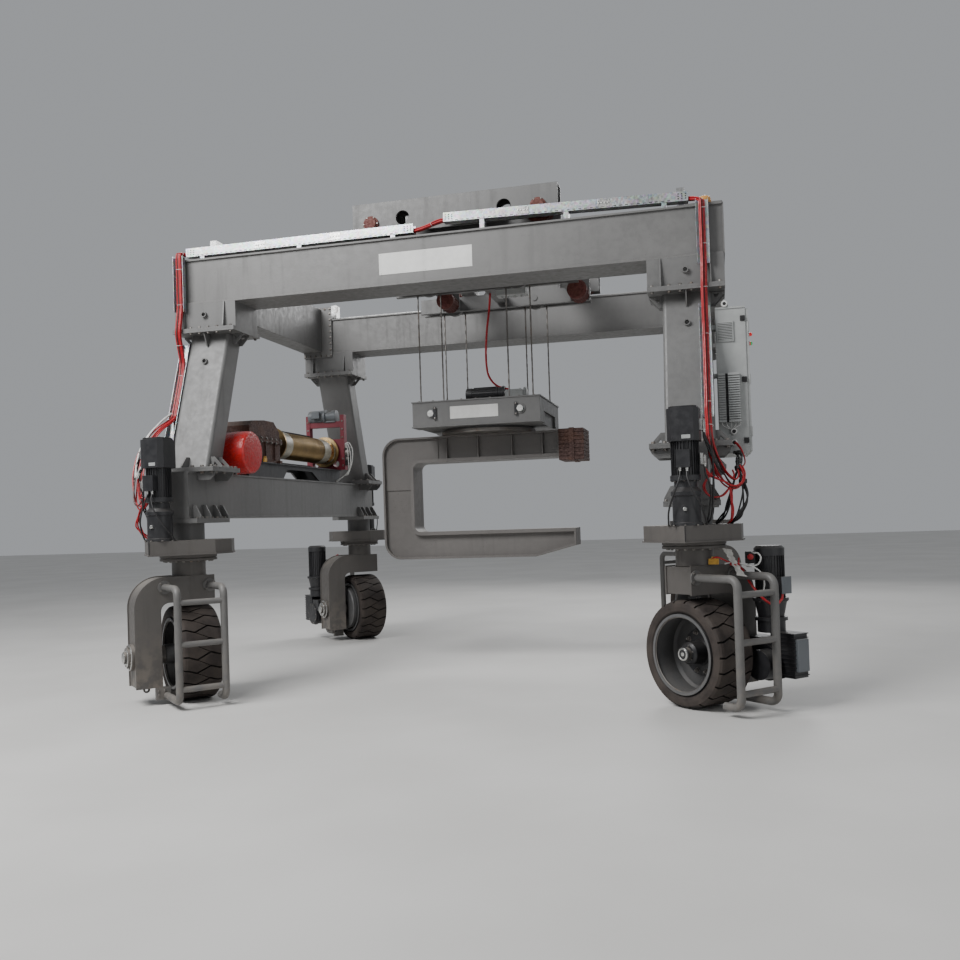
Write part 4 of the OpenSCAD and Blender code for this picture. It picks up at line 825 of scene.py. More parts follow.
@dataclass(frozen=True)
class WheelCorner:
    """One steered wheel with its arm, guard, drives and cover."""

    name: str
    side_x: int
    side_y: int
    driven: bool
    steer: float = 46.0
    swing: float = -5.0
    steering_drive: float = -467.0
    travel_drive: Point = (-560.0, -413.0, 0.0)
    axle_end: float = 186.0
    stud: Profile = ((11, 0), (11, 36), (8, 39))
    # A thin black sheet over the hub and the dish's web: the hub's own black, and painted shade deep in the
    # dish.
    dark_hub_and_shade: Profile = (
        (224, -46), (224, -44.9), (128, -44.9), (106.7, -23.4), (106.7, 114.5), (84.6, 136.9),
        (66, 136.9), (66, 136.1), (83.8, 136.1), (105.4, 113.8), (105.4, -24.2), (127, -46))
    rim_ring: Profile = ((360, 0), (360, 7), (352, 10), (345, 7), (345, 0))
    axle_cap: Profile = ((50, 0), (62, 0), (62, 10), (57, 16), (48, 17), (45, 12), (20, 12), (17, 17), (5, 18))
    arm_caps: tuple[tuple[float, Profile], ...] = (
        (-646, ((136, 0), (136, 5), (131, 8), (109, 8), (108, 0))),
        (-678, ((104, 0), (104, 3), (100, 5), (66, 5), (64, 0))))
    arm_dome: Profile = ((58, 0), (58, 4), (50, 10), (24, 13), (8, 13.4))
    cap_rings: tuple[Profile, ...] = (((20.5, 11.5), (44.5, 11.5), (44, 13), (21, 13)),
                                      ((62, -4), (72, -4), (72, 2), (62, 2)))
    plug: Profile = ((17, 0), (17, 14), (13, 18), (13, 30), (9, 33))
    gland: Profile = ((15, 0), (15, 16), (12, 20), (12, 34), (9, 36))

    @property
    def turned(self) -> Matrix:
        """The place that turns with the wheel; the arm lies towards its -X.

        Returns:
            The place's matrix.
        """
        turn = Matrix.Rotation(math.radians(self.steer + (180 if self.side_x > 0 else 0)), 4, "Z")
        flip = Matrix.Diagonal((1.0, -1.0 if self.driven else 1.0, 1.0, 1.0))
        return Matrix.Translation((self.side_x * PIN[0], self.side_y * PIN[1], 0.0)) @ turn @ flip

    @property
    def swung(self) -> Matrix:
        """The gear cover's place, swung a little about the pin, with -Y pointing out of the crane.

        Returns:
            The place's matrix.
        """
        flip = Matrix.Diagonal((1.0, -self.side_y, 1.0, 1.0))
        pin = Matrix.Translation((self.side_x * PIN[0], self.side_y * PIN[1], 0.0))
        return pin @ flip @ Matrix.Rotation(math.radians(self.swing), 4, "Z")

    def wheel(self) -> None:
        """Builds the nuts, the thin black hub sheet and rim rings, which roll with the wheel; the sheet is the
        hub's own black and, over the dish's web, painted shade.
        """
        body = self.name + "_wheel"
        nuts = Former(body + "_nuts", Finish.DARK, body, self.turned)
        face = spot((-47, 0, HUB_Z), RIGHT)
        for k, (c, s) in enumerate(around(10, 108)):
            seat = face @ Matrix.Translation((190 * c, 190 * s, 0))
            nuts.bolt(seat @ Matrix.Rotation(math.radians(17 * k), 4, "Z"), 36, 22)
            nuts.lathe(self.stud, seat, 10)
        nuts.bolt_ring(spot((137, 0, HUB_Z), RIGHT), 75, 6, 11, 102)
        nuts.done()
        # The hub's own black, and painted shade laid over the dish's web.
        dark_hub_and_shade = Former(self.name + "_hub_black_and_shade", Finish.BLACK, body, self.turned)
        dark_hub_and_shade.lathe(self.dark_hub_and_shade, spot((0, 0, HUB_Z), RIGHT), 64, closed=True)
        dark_hub_and_shade.done()
        ring = Former(self.name + "_rim_ring", Finish.DARK, body, self.turned)
        for x in (-210, 203):
            ring.lathe(self.rim_ring, spot((x, 0, HUB_Z), RIGHT), 72, closed=True)
        ring.done()

    def hub(self) -> None:
        """Builds the cap on the axle's end, the bearing caps and all the arm's bolts."""
        body, axle = self.name + "_fork", spot((self.axle_end, 0, HUB_Z), RIGHT)
        cap = Former(self.name + "_hub_cap", Finish.BRIGHT, body, self.turned)
        cap.lathe(self.axle_cap, axle, 40)
        for x, profile in self.arm_caps:
            cap.lathe(profile, spot((x, 0, HUB_Z), LEFT), 48, closed=True)
        cap.lathe(self.arm_dome, spot((-705, 0, HUB_Z), LEFT), 36)
        cap.done()
        dark = Former(self.name + "_cap_centre", Finish.BLACK, body, self.turned)
        for profile in self.cap_rings:
            dark.lathe(profile, axle, 40, closed=True)
        dark.done()
        bolts = Former(self.name + "_cap_bolts", Finish.DARK, body, self.turned)
        bolts.bolt_ring(spot((-653, 0, HUB_Z), LEFT), 121, 8, 17, 112.5)
        bolts.bolt_ring(spot((-682.5, 0, HUB_Z), LEFT), 85, 6, 12, 90)
        bolts.bolt_ring(spot((0, 0, RING_Z), DOWN), 250, 20, 24, 9)
        for x in (-307, 167):
            bolts.bolt_ring(spot((x, -191, 1231), FRONT), 55, 4, 16, 45)
        bolts.bolt_face(((x, -175, z) for x in (-395, -330) for z in (108, 152)), FRONT, 18)
        bolts.done()

    def welds(self) -> None:
        """Lays weld beads at both ends of the arm's column."""
        beads = Former(self.name + "_arm_welds", Finish.CORNER, self.name + "_fork", self.turned)
        for z, radius in ((ARM_TOP - 2, 7.0), (ARM_TOP + 156, 6.0)):
            line = [Vector((180 * c, 180 * s, z)) for c, s in around(48)]
            beads.tube([*line, line[0]], radius, 6, (3, 1.6, 0.06))
        beads.done()

    def cover(self) -> None:
        """Builds the gear cover's seam and the plugs, label, bolts and leads of its drive."""
        block(self.name + "_cover_seam", Finish.SHEATH, (
            ((11, COVER_TOP - COVER_Z - 15, 3.4), spot((0, -654.4, (COVER_TOP + COVER_Z + 13) / 2), FRONT), 1),
            ((5, 300, 1.2), spot((0, -500, COVER_TOP - 0.5)), 0.4)), base=self.swung)
        base = self.swung @ Matrix.Translation((0, self.steering_drive, COVER_TOP))
        bolts = Former(self.name + "_cover_bolts", Finish.DARK, "frame", base)
        bolts.bolt_ring(spot((0, 0, 406), DOWN), 122, 8, 15)
        bolts.bolt_ring(spot((0, 0, 0)), 150, 8, 18)
        bolts.bolt_face(((x * 92.04, y * 92.04, 1075) for x in ENDS for y in ENDS), UP, 14)
        bolts.done()
        out = self.side_x
        plugs = Former(self.name + "_drive_plugs", Finish.BRIGHT, "frame", base)
        for z in (598, 905):
            for size, x, rise, soft in (((86, 104, 30), 138, 0, 5), ((70, 72, 26), 166, -4, 8),
                                        ((98, 14, 8), 180, 26, 3)):
                plugs.slab(size, spot((out * x, -24, z + rise), (out, 0, 0)), soft)
            plugs.lathe(self.plug, spot((out * 176, -24, z - 40), DOWN), 14)
        for x in (-30, 30):
            plugs.lathe(self.gland, spot((x, -150, 522), DOWN), 12)
        plugs.lathe(((20, 0), (20, 18), (16, 24), (8, 26)), spot((0, -128, 150), FRONT), 16)
        plugs.done()
        block(self.name + "_drive_label", Finish.CABINET,
              (((78, 34, 1.6), spot((30, -142.4, 796), FRONT), 0.6),), base=base)
        runs = [[(out * 176, -24, z), (out * 178, -24, z - 60), (out * reach, 0, z - 170),
                 (out * reach, 60, z / 2), (out * (reach - 30), 110, 90), (out * 150, 120, 0)]
                for z, reach in ((530, 212), (838, 238))]
        runs.append([(-30, -150, 492), (-34, -176, 430), (-70, -186, 330), (-120, -160, 210), (-150, -110, 120),
                     (-160, -60, 40), (-165, -20, 0)])
        runs.append([(30, -150, 492), (36, -178, 420), (84, -190, 300), (140, -150, 190), (160, -90, 110),
                     (168, -30, 50), (172, 20, 0)])
        leads(self.name + "_drive_leads", Finish.SHEATH, ((run, 8.5, 8) for run in runs), base=base)

    def drive(self) -> None:
        """Builds the bolts, box lids and lead of the travel drive."""
        body, place = self.name + "_fork", self.turned @ Matrix.Translation(self.travel_drive)
        bolts = Former(self.name + "_drive_bolts", Finish.DARK, body, place)
        bolts.bolt_ring(spot((0, 0, 985), DOWN), 150, 12, 15)
        bolts.bolt_ring(spot((-110, 0, 412), LEFT), 150, 10, 16)
        bolts.bolt_face(((x, -189, z) for x in (-48, 48) for z in (1072, 1198)), FRONT, 10)
        bolts.done()
        block(self.name + "_drive_box", Finish.CASE, (
            ((132, 160, 9), spot((0, -189, 1135), FRONT), 3),
            ((150, 70, 300), spot((0, -330, 350)), 6)), body, place)
        run = ((40, -178, 1075), (70, -190, 1010), (150, -170, 960), (230, -90, 1040), (250, 30, 1180),
               (250, 120, 1300), (262, 235, 1345))
        leads(self.name + "_drive_lead", Finish.CABLE, ((run, 11, 10),), body, place)

    def build(self) -> None:
        """Builds the corner's pieces."""
        for step in (self.wheel, self.hub, self.welds, self.cover, *((self.drive,) if self.driven else ())):
            step()


@dataclass(frozen=True)
class Structure:
    """The bolted and welded joints of sills, legs, saddles, girders and end beams."""

    bolts: Former = field(default_factory=lambda: Former("structure_bolts", Finish.DARK))
    beads: Former = field(default_factory=lambda: Former("structure_welds", Finish.GREY))
    foot_ends: tuple[float, ...] = (-265, -170, 0, 170, 265)
    foot_sides: tuple[float, ...] = (-235, -120, 120, 235)
    saddle_row: tuple[float, ...] = (-335, -165, -55, 55, 165, 335)
    head_row: tuple[float, ...] = (-200, -95, 5, 115, 215, 320, 385)
    joint_column: tuple[float, ...] = (-30, 60, 150, 240, 330, 420, 510, 600, 672)
    clip_step: float = 500.0
    sill_half: float = 2770.0

    def weld(self, ends: tuple[Point, Point], radius: float = 6.0) -> None:
        """Lays a short rippled weld bead.

        Args:
            ends: where it starts and stops.
            radius: the bead's radius.
        """
        a, b = (Vector(q) for q in ends)
        count = max(2, int((b - a).length / 16))
        line = [a.lerp(b, k / count) + Vector((((k - 1) % 2) * 0.9, 0.0, ((k - 1) % 3) * 0.7))
                for k in range(1, count)]
        self.beads.tube([a, *line, b], radius, 6, (1, 1.4, 0.031))

    def seam(self, start: Point, end: Point, count: int, radius: float) -> None:
        """Lays a long fillet weld.

        Args:
            start: where it starts.
            end: where it stops.
            count: how many pieces it has.
            radius: its radius.
        """
        a, b = Vector(start), Vector(end)
        line = [a.lerp(b, k / count) + Vector((0, 0, 0.8 * (k % 2))) for k in range(count + 1)]
        self.beads.tube(line, radius, 6)

    def foot(self, sx: int, sy: int) -> None:
        """Joins a leg's foot, its top and the sill's head plate.

        Args:
            sx: the side along X.
            sy: the side along Y.
        """
        x0, y0, y1 = sx * PIN[0], sy * FOOT_Y, sy * GIRDER_Y
        for x, y in [(s * 345, d) for s in ENDS for d in self.foot_ends] + \
                    [(d, s * 265) for s in ENDS for d in self.foot_sides]:
            self.bolts.bolt(spot((x0 + x, y0 + y, FOOT_Z), turn=x + y), 34)
            if abs(x) > 190:
                self.bolts.bolt(spot((x0 + x, y0 + y, SILL_TOP), DOWN), 34)
        for s in ENDS:
            for d in self.saddle_row:
                self.bolts.bolt(spot((x0 + d, y1 + s * 296, SADDLE_Z), turn=d), 30)
                self.bolts.bolt(spot((x0 + d, y1 + s * 296, LEG_TOP - 25), DOWN), 30)
            for d in self.head_row:
                self.bolts.bolt(spot((x0 + s * 236, sy * (PIN[1] - d), SILL_Z), turn=d), 28)
            for y, z in ((y0, FOOT_Z + 2), (y1, LEG_TOP - 27)):
                self.weld(((x0 - 200, y + s * 162, z), (x0 + 200, y + s * 162, z)))
            self.weld(((x0 + s * 242, y0 - 118, FOOT_Z + 2), (x0 + s * 242, y0 + 118, FOOT_Z + 2)))

    def joint(self, sx: int, sy: int) -> None:
        """Bolts the plate between a girder and an end beam.

        Args:
            sx: the side along X.
            sy: the side along Y.
        """
        x0, y = sx * (GIRDER_HALF - 230), sy * 1508.0
        columns = [(x, z, z) for x in (-205, 205) for z in self.joint_column]
        rows = [(x, z, x) for x in (-130, -45, 45, 130) for z in (-30, 672)]
        for x, z, turn in columns + rows:
            self.bolts.bolt(spot((x0 + x, y, GIRDER_Z + z), (0, -sy, 0), turn), 26)

    def girder(self, sy: int) -> None:
        """Lays the long fillet welds and the rail clips of a girder.

        Args:
            sy: the side along Y.
        """
        half, middle = GIRDER_HALF - 20, sy * GIRDER_Y
        for s in ENDS:
            for z in (GIRDER_Z + 21, GIRDER_TOP - 21):
                self.seam((-half, middle + s * 245, z), (half, middle + s * 245, z), 240, 6.0)
            for k in range(11):
                x = (k - 5) * self.clip_step
                self.beads.slab((70, 46, 16), spot((x, middle + s * 52, GIRDER_TOP)), 3)
                self.bolts.bolt(spot((x, middle + s * 54, GIRDER_TOP + 16), turn=k * 13), 24)

    def sill(self, sx: int) -> None:
        """Lays the fillet welds of a sill's plates.

        Args:
            sx: the side along X.
        """
        for x in (sx * PIN[0] - 160, sx * PIN[0] + 160):
            for z in (SILL_Z + 19, SILL_TOP - 19):
                self.seam((x, -self.sill_half, z), (x, self.sill_half, z), 220, 5.0)

    def build(self) -> None:
        """Builds the joints of the whole frame."""
        for side in ENDS:
            self.sill(side)
            self.girder(side)
            for sy in ENDS:
                self.foot(side, sy)
                self.joint(side, sy)
        self.bolts.done()
        self.beads.done()


TRAY_FACE = -2058.0
LOOM_Y, BED_Y, LEFT_Z = TRAY_FACE - 55.6, TRAY_FACE + 55.0, GIRDER_TOP + 58.6
LEFT_UP, RIGHT_UP, LEFT_LEG, RIGHT_LEG = -2963.0, 2870.0, -2981.0, 2861.0
TRAY_FALL = 1.4


def sloping(x: float, rise: float = 140.6) -> Point:
    """Returns a point of the loom in the sloping tray, at x and a rise over the girder."""
    return (x, BED_Y, GIRDER_TOP + rise - (x - 175.0) * math.tan(math.radians(TRAY_FALL)))


def on_leg(x: float, z: float, push: float, ahead: float = 0.0) -> Point:
    """Gives the middle of a loom in a leg's channel.

    Args:
        x: its place along the girders.
        z: its height.
        push: how far the channel is set back from the leg's face.
        ahead: how far the loom is pulled forward.

    Returns:
        The point.
    """
    return (x, -2515.0 + (z - FOOT_Z) * math.tan(LEAN) + (push - 28.6) / math.cos(LEAN) - ahead, z)


@dataclass(frozen=True)
class Loom:
    """A bundle of power cables with ties, on the route of one solid of the frame."""

    name: str
    route: tuple[Point, ...]
    flare: float
    ties: tuple[float, ...]
    pitch: float = 17.5
    layer: float = 9.0

    def strand(self, path: list[Vector], index: int) -> list[Vector]:
        """Lays out one cable, in one of two layers of four.

        Args:
            path: the bundle's line.
            index: the cable's number.

        Returns:
            The cable's line.
        """
        side, line = Vector(UP), []
        phase = random.Random(17 * index + len(self.name)).uniform(0, math.tau)
        wide, deep = (index % 4 - 1.5) * self.pitch, self.layer if index < 4 else -self.layer
        for k, point in enumerate(path):
            t = k / (len(path) - 1)
            ahead = heading(path, k)
            side = across(ahead, side)
            loose = min(max((t - 0.70) / 0.16, 0.0), 1.0) * self.flare
            a = wide * (1 + loose * 0.8) + (2.4 + 30 * loose) * math.sin(15 * t + phase)
            b = deep * (1 + loose * 1.2) + (1.4 + 30 * loose) * math.cos(12 * t + 2 * phase)
            line.append(point + side * b + ahead.cross(side) * a)
        return line

    def build(self) -> bpy.types.Object:
        """Builds the cables and their ties.

        Returns:
            The piece with the red cables.
        """
        path = curve(self.route, 5)
        red = Former(self.name + "_red", Finish.CABLE)
        pale = Former(self.name + "_pale", Finish.WHITE)
        dark = Former(self.name + "_dark", Finish.BROWN)
        for k in range(8):
            (dark if k in (2, 5) else red).tube(self.strand(path, k), 8.0, 8)
        for share in self.ties:
            k = int(share * (len(path) - 2))
            ahead = heading(path, k)
            thin = across(ahead, Vector(FRONT if abs(ahead.z) > 0.6 else UP))
            loop = [path[k] + ahead.cross(thin) * (38 * c) + thin * (20 * s) for c, s in around(24)]
            pale.tube([*loop, loop[0]], 2.4, 6)
        pale.done()
        dark.done()
        return red.done()


@dataclass(frozen=True)
class Cabling:
    """Looms, and the holes, slots and joints of the cable trays."""

    flat_tray: tuple[Point, float] = ((-2903, TRAY_FACE, GIRDER_TOP + 30), 2738.0)
    sloping_tray: tuple[Point, float] = ((175, TRAY_FACE, GIRDER_TOP + 108), 2565.0)
    end_holes: tuple[float, ...] = (26.0, 62.0, 98.0)
    slot_step: float = 60.0
    plate: Point = (130, 76, 3)

    def run(self, x0: float, x: float, push: float) -> list[Point]:
        """Routes a loom down a girder's channel and a leg's channel.

        Args:
            x0: the girder's channel.
            x: the leg's channel.
            push: how far the leg's channel is set back.

        Returns:
            The route's points.
        """
        leg = ((3790, 50), (3700, 18), (3620, 4), (3540, 0), (3200, 0), (2940, 0), (2870, 1), (2800, 11))
        return [(x0, LOOM_Y - 1, GIRDER_Z + 60), (x0, LOOM_Y - 6, GIRDER_Z - 60),
                ((x0 + x) / 2, -2141, SADDLE_Z + 50), (x, -2141, LEG_TOP - 60),
                *(on_leg(x, z, push, ahead) for z, ahead in leg)]

    def looms(self) -> None:
        """Builds the three looms."""
        top, out = GIRDER_TOP, LEFT_LEG
        left = ((-700, BED_Y, LEFT_Z), (-1500, BED_Y, LEFT_Z), (-2743, BED_Y, LEFT_Z),
                (-2823, BED_Y, LEFT_Z + 1), (-2911, BED_Y - 14, LEFT_Z + 4),
                (LEFT_UP + 12, BED_Y - 60, LEFT_Z + 8), (LEFT_UP, LOOM_Y + 9, top + 56),
                (LEFT_UP, LOOM_Y - 1, top + 20), (LEFT_UP, LOOM_Y - 1, top - 60),
                (LEFT_UP, LOOM_Y, GIRDER_Z + 280), *self.run(LEFT_UP, LEFT_LEG, 57)[:-3],
                on_leg(out - 3, 3080, 57, 16), (out - 34, -2500, 2950), (out - 84, -2600, 2830),
                (out - 112, -2720, 2660), (out - 110, -2820, 2460), (out - 86, -2880, 2280),
                (out - 50, -2920, 2160), (out + 4, -2950, 2120), (out + 56, -2960, 2180))
        middle = ((-420, BED_Y, LEFT_Z), (-165, BED_Y, LEFT_Z + 4), (-20, BED_Y, top + 92),
                  (100, BED_Y, top + 128), (195, BED_Y, top + 141.6), sloping(430))
        bend = sloping(2700, 134)
        right = (sloping(2300), sloping(2600), sloping(2700, 141.6), (2764, BED_Y - 10, bend[2]),
                 (RIGHT_UP - 50, BED_Y - 52, top + 54), (RIGHT_UP - 8, LOOM_Y + 12, top + 24),
                 (RIGHT_UP, LOOM_Y - 1, top - 14), (RIGHT_UP, LOOM_Y - 1, top - 60),
                 (RIGHT_UP, LOOM_Y, GIRDER_Z + 280), *self.run(RIGHT_UP, RIGHT_LEG, 0),
                 (RIGHT_LEG + 6, -2600, 2620), (RIGHT_LEG + 18, -2705, FOOT_Z + 10), (2894, -2723, 2420),
                 (2914, -2732, 2327), (2960, -2764, 2190), (3020, -2800, 2100), (3085, -2806, 2070),
                 (3140, -2780, 2100), (3150, -2730, 2170), (3120, -2690, 2230))
        first = Loom("left_loom", left, 0.7, (0.1, 0.2, 0.32, 0.4, 0.5, 0.62)).build()
        Loom("middle_loom", middle, 0.1, (0.5,)).build()
        Loom("right_loom", right, 0.9, (0.24, 0.3, 0.4, 0.52, 0.62, 0.7)).build()
        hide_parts("power_cables")

    def trays(self) -> None:
        """Punches the trays' rows of holes and slots, and bolts their joints."""
        holes, bolts = Former("tray_holes", Finish.BLACK), Former("tray_bolts", Finish.BRIGHT)
        slope = Matrix.Rotation(math.radians(TRAY_FALL), 4, "Y")
        for base, length in ((Matrix.Translation(self.flat_tray[0]), self.flat_tray[1]),
                             (Matrix.Translation(self.sloping_tray[0]) @ slope, self.sloping_tray[1])):
            for end in (*self.end_holes, *(length - x for x in self.end_holes)):
                for z in (26, 49, 72):
                    holes.lathe(((7.5, 0), (7.5, 0.5), (2, 0.5)), base @ spot((end, 0, z), FRONT), 12)
            for k in range(int((length - 260) // self.slot_step)):
                holes.slab((30, 8, 0.6), base @ spot((150 + self.slot_step * k, 0, 12), FRONT), 0.2)
            for x in (length * 0.34, length * 0.67):
                bolts.slab(self.plate, base @ spot((x, 0, 50), FRONT), 1)
                for d in (-48, -20, 20, 48):
                    bolts.bolt(base @ spot((x + d, -3, 50), FRONT), 12)
        for x in (LEFT_UP, RIGHT_UP):
            for side in ENDS:
                for z in (4350, 4480, 4610, 4740, 4870, 4930):
                    place = spot((x + side * 62, TRAY_FACE - 62, z), (side, 0, 0))
                    holes.lathe(((7, 0), (7, 0.5), (2, 0.5)), place, 12)
        holes.done()
        bolts.done()

    def build(self) -> None:
        """Builds all the cabling on the frame."""
        self.looms()
        self.trays()


@dataclass(frozen=True)
class Bunch:
    """Cables that follow one route, each with its own slack."""

    route: tuple[Point, ...]
    count: int
    spread: float
    seed: int
    radius: float = 8.0

    def lay(self, former: Former) -> None:
        """Adds the cables to a piece.

        Args:
            former: the piece that takes them.
        """
        chance = random.Random(self.seed)
        ends = (0, len(self.route) - 1)
        for _ in range(self.count):
            line = []
            for k, point in enumerate(self.route):
                stray = self.spread * (0.35 if k in ends else 1.0)
                line.append(Vector(point) + Vector([chance.uniform(-stray, stray) for _ in range(3)]))
            former.tube(curve(line, 7), self.radius, 8)


@dataclass(frozen=True)
class Wiring:
    """Leads, stop button and tags round the front corners and the cabinet."""

    right_dark: tuple[Bunch, ...] = (
        Bunch(((3100, -2030, 2424), (3128, -2190, 2392), (3132, -2420, 2330), (3120, -2600, 2290),
               (3110, -2700, 2240)), 7, 30, 3),
        Bunch(((3112, -2690, 2250), (3150, -2740, 2120), (3160, -2770, 1960), (3110, -2750, 1810),
               (3030, -2690, 1724)), 5, 26, 8),
        Bunch(((3100, -2700, 2200), (3060, -2760, 2040), (3010, -2780, 1900), (2960, -2740, 1790),
               (2900, -2690, 1724)), 3, 24, 12),
        Bunch(((2820, -3040, 2560), (2850, -3010, 2430), (2900, -2900, 2290), (2980, -2800, 2180)), 2, 10, 4))
    right_red: tuple[Bunch, ...] = (
        Bunch(((3101, -2074, 2517), (3120, -2104, 2500), (3176, -2150, 2420), (3186, -2330, 2310),
               (3140, -2560, 2240)), 2, 7, 5, 7),
        Bunch(((2900, -2790, 2230), (2800, -2850, 2080), (2850, -2870, 1985), (2960, -2850, 1975),
               (3030, -2810, 2060)), 2, 12, 6, 7),
        Bunch(((3030, -2800, 2090), (3046, -2810, 1980), (3052, -2800, 1860), (3040, -2760, 1770),
               (3000, -2700, 1724)), 3, 12, 7, 7.5),
        Bunch(((2816, -3044, 2240), (2850, -3000, 2180), (2930, -2900, 2130), (3010, -2810, 2100)), 2, 10, 9))
    left_dark: tuple[Bunch, ...] = (
        Bunch(((-3010, -2470, 2980), (-3090, -2660, 2770), (-3104, -2820, 2560), (-3040, -2950, 2400),
               (-2916, -3036, 2470)), 3, 18, 14),)
    left_pale: tuple[Bunch, ...] = (
        Bunch(((-2990, -2310, 3140), (-3040, -2440, 3040), (-3096, -2600, 2880), (-3118, -2740, 2700),
               (-3090, -2880, 2500), (-3010, -2970, 2400), (-2916, -3036, 2500)), 3, 12, 18, 8.5),)
    left_red: tuple[Bunch, ...] = (
        Bunch(((-2900, -2960, 2140), (-3010, -2940, 2040), (-3060, -2900, 1900), (-3030, -2840, 1780),
               (-2970, -2780, 1724)), 4, 20, 15, 7.5),)
    wraps: tuple[tuple[Point, Point], ...] = (((3118, -2694, 2236), (0.2, -0.5, -1)),
                                              ((3150, -2744, 2110), (0, -0.2, -1)))
    stop_face: Point = (3196, -2468, 1398)
    stop_runs: tuple = (
        (((3196, -2500, 1345), (3160, -2560, 1322), (3200, -2600, 1318), (3262, -2590, 1335),
          (3290, -2580, 1392), (3266, -2575, 1436), (3228, -2560, 1440), (3200, -2520, 1446)), 8, 8),
        (((2960, -2700, 1352), (3040, -2690, 1362), (3130, -2640, 1338), (3220, -2640, 1312),
          (3290, -2660, 1250), (3310, -2660, 1160), (3300, -2620, 1080)), 7, 8))
    tag_runs: tuple = (
        (((2846, -2706, 1404), (2900, -2712, 1414), (2960, -2700, 1386), (3030, -2690, 1350),
          (3076, -2670, 1346), (3090, -2640, 1400)), 8, 8),
        (((3010, -2694, 1352), (3052, -2704, 1338), (3090, -2690, 1352)), 15, 10))
    strip_run: tuple[Point, ...] = ((2984, -2690, 1490), (3010, -2706, 1430), (3040, -2712, 1370),
                                    (3078, -2716, 1300), (3112, -2720, 1236))

    def bunches(self, name: str, finish: Finish, bunches: tuple[Bunch, ...]) -> None:
        """Builds a piece of loose cables.

        Args:
            name: the piece's name.
            finish: its finish.
            bunches: its cables.
        """
        former = Former(name, finish)
        for bunch in bunches:
            bunch.lay(former)
        former.done()

    def stop(self, body: str) -> None:
        """Builds the stop button, its leads and the tags.

        Args:
            body: the body that they ride on.
        """
        x, y, z = self.stop_face
        box = Former("stop_box", Finish.SHEATH, body)
        box.slab((92, 112, 74), spot(self.stop_face, FRONT), 7)
        box.lathe(((40, 0), (40, 8), (33, 13), (33, 20)), spot((x, y - 73, z + 6), FRONT), 28)
        box.slab((96, 60, 12), spot((x + 44, y - 2, z - 46)), 3)
        box.done()
        button = Former("stop_button", Finish.CABLE, body)
        button.lathe(((14, 0), (14, 10), (26, 13), (29, 19), (28, 25), (20, 30), (6, 32)),
                     spot((x, y - 88, z + 6), FRONT), 28)
        button.done()
        leads("stop_leads", Finish.WHITE, self.stop_runs, body)
        leads("tag_leads", Finish.CABLE, self.tag_runs, body)
        facing = (-0.06, -1, 0.1)
        block("yellow_tag", Finish.YELLOW, (((96, 56, 9), spot((2862, -2700, 1374), facing), 4),
                                            ((40, 26, 12), spot((2862, -2700, 1408), facing), 4)), body)

    def strip(self, body: str) -> None:
        """Builds the pale strip of film, torn unevenly along its edges.

        Args:
            body: the body that it rides on.
        """
        strip = Former("pale_strip", Finish.SHEET, body)
        chance, rings = random.Random(21), []
        for k, middle in enumerate(curve(self.strip_run, 5)):
            wide = 44 + chance.uniform(-7, 7) - 14 * math.sin(k / 20 * math.pi)
            tilt = chance.uniform(-9, 9)
            section = ((-wide, tilt, 8), (0, -6 - tilt, 0), (wide, tilt, -8),
                       (wide, tilt + 2.5, -8), (0, -3.5 - tilt, 0), (-wide, tilt + 2.5, 8))
            rings.append([middle + Vector(q) for q in section])
        strip.skin(rings)
        strip.done()

    def build(self) -> None:
        """Builds the wiring."""
        self.bunches("corner_leads_dark", Finish.SHEATH, self.right_dark)
        self.bunches("corner_leads_red", Finish.CABLE, self.right_red)
        wraps = Former("loom_wraps", Finish.SHEATH)
        for point, axis in self.wraps:
            wraps.lathe(((34, -20), (38, -16), (38, 16), (34, 20)), spot(point, axis), 20)
        wraps.done()
        self.bunches("left_leads_dark", Finish.SHEATH, self.left_dark)
        self.bunches("left_leads_pale", Finish.WHITE, self.left_pale)
        self.bunches("left_leads_red", Finish.CABLE, self.left_red)
        self.stop("front_right_fork")
        self.strip("front_right_fork")


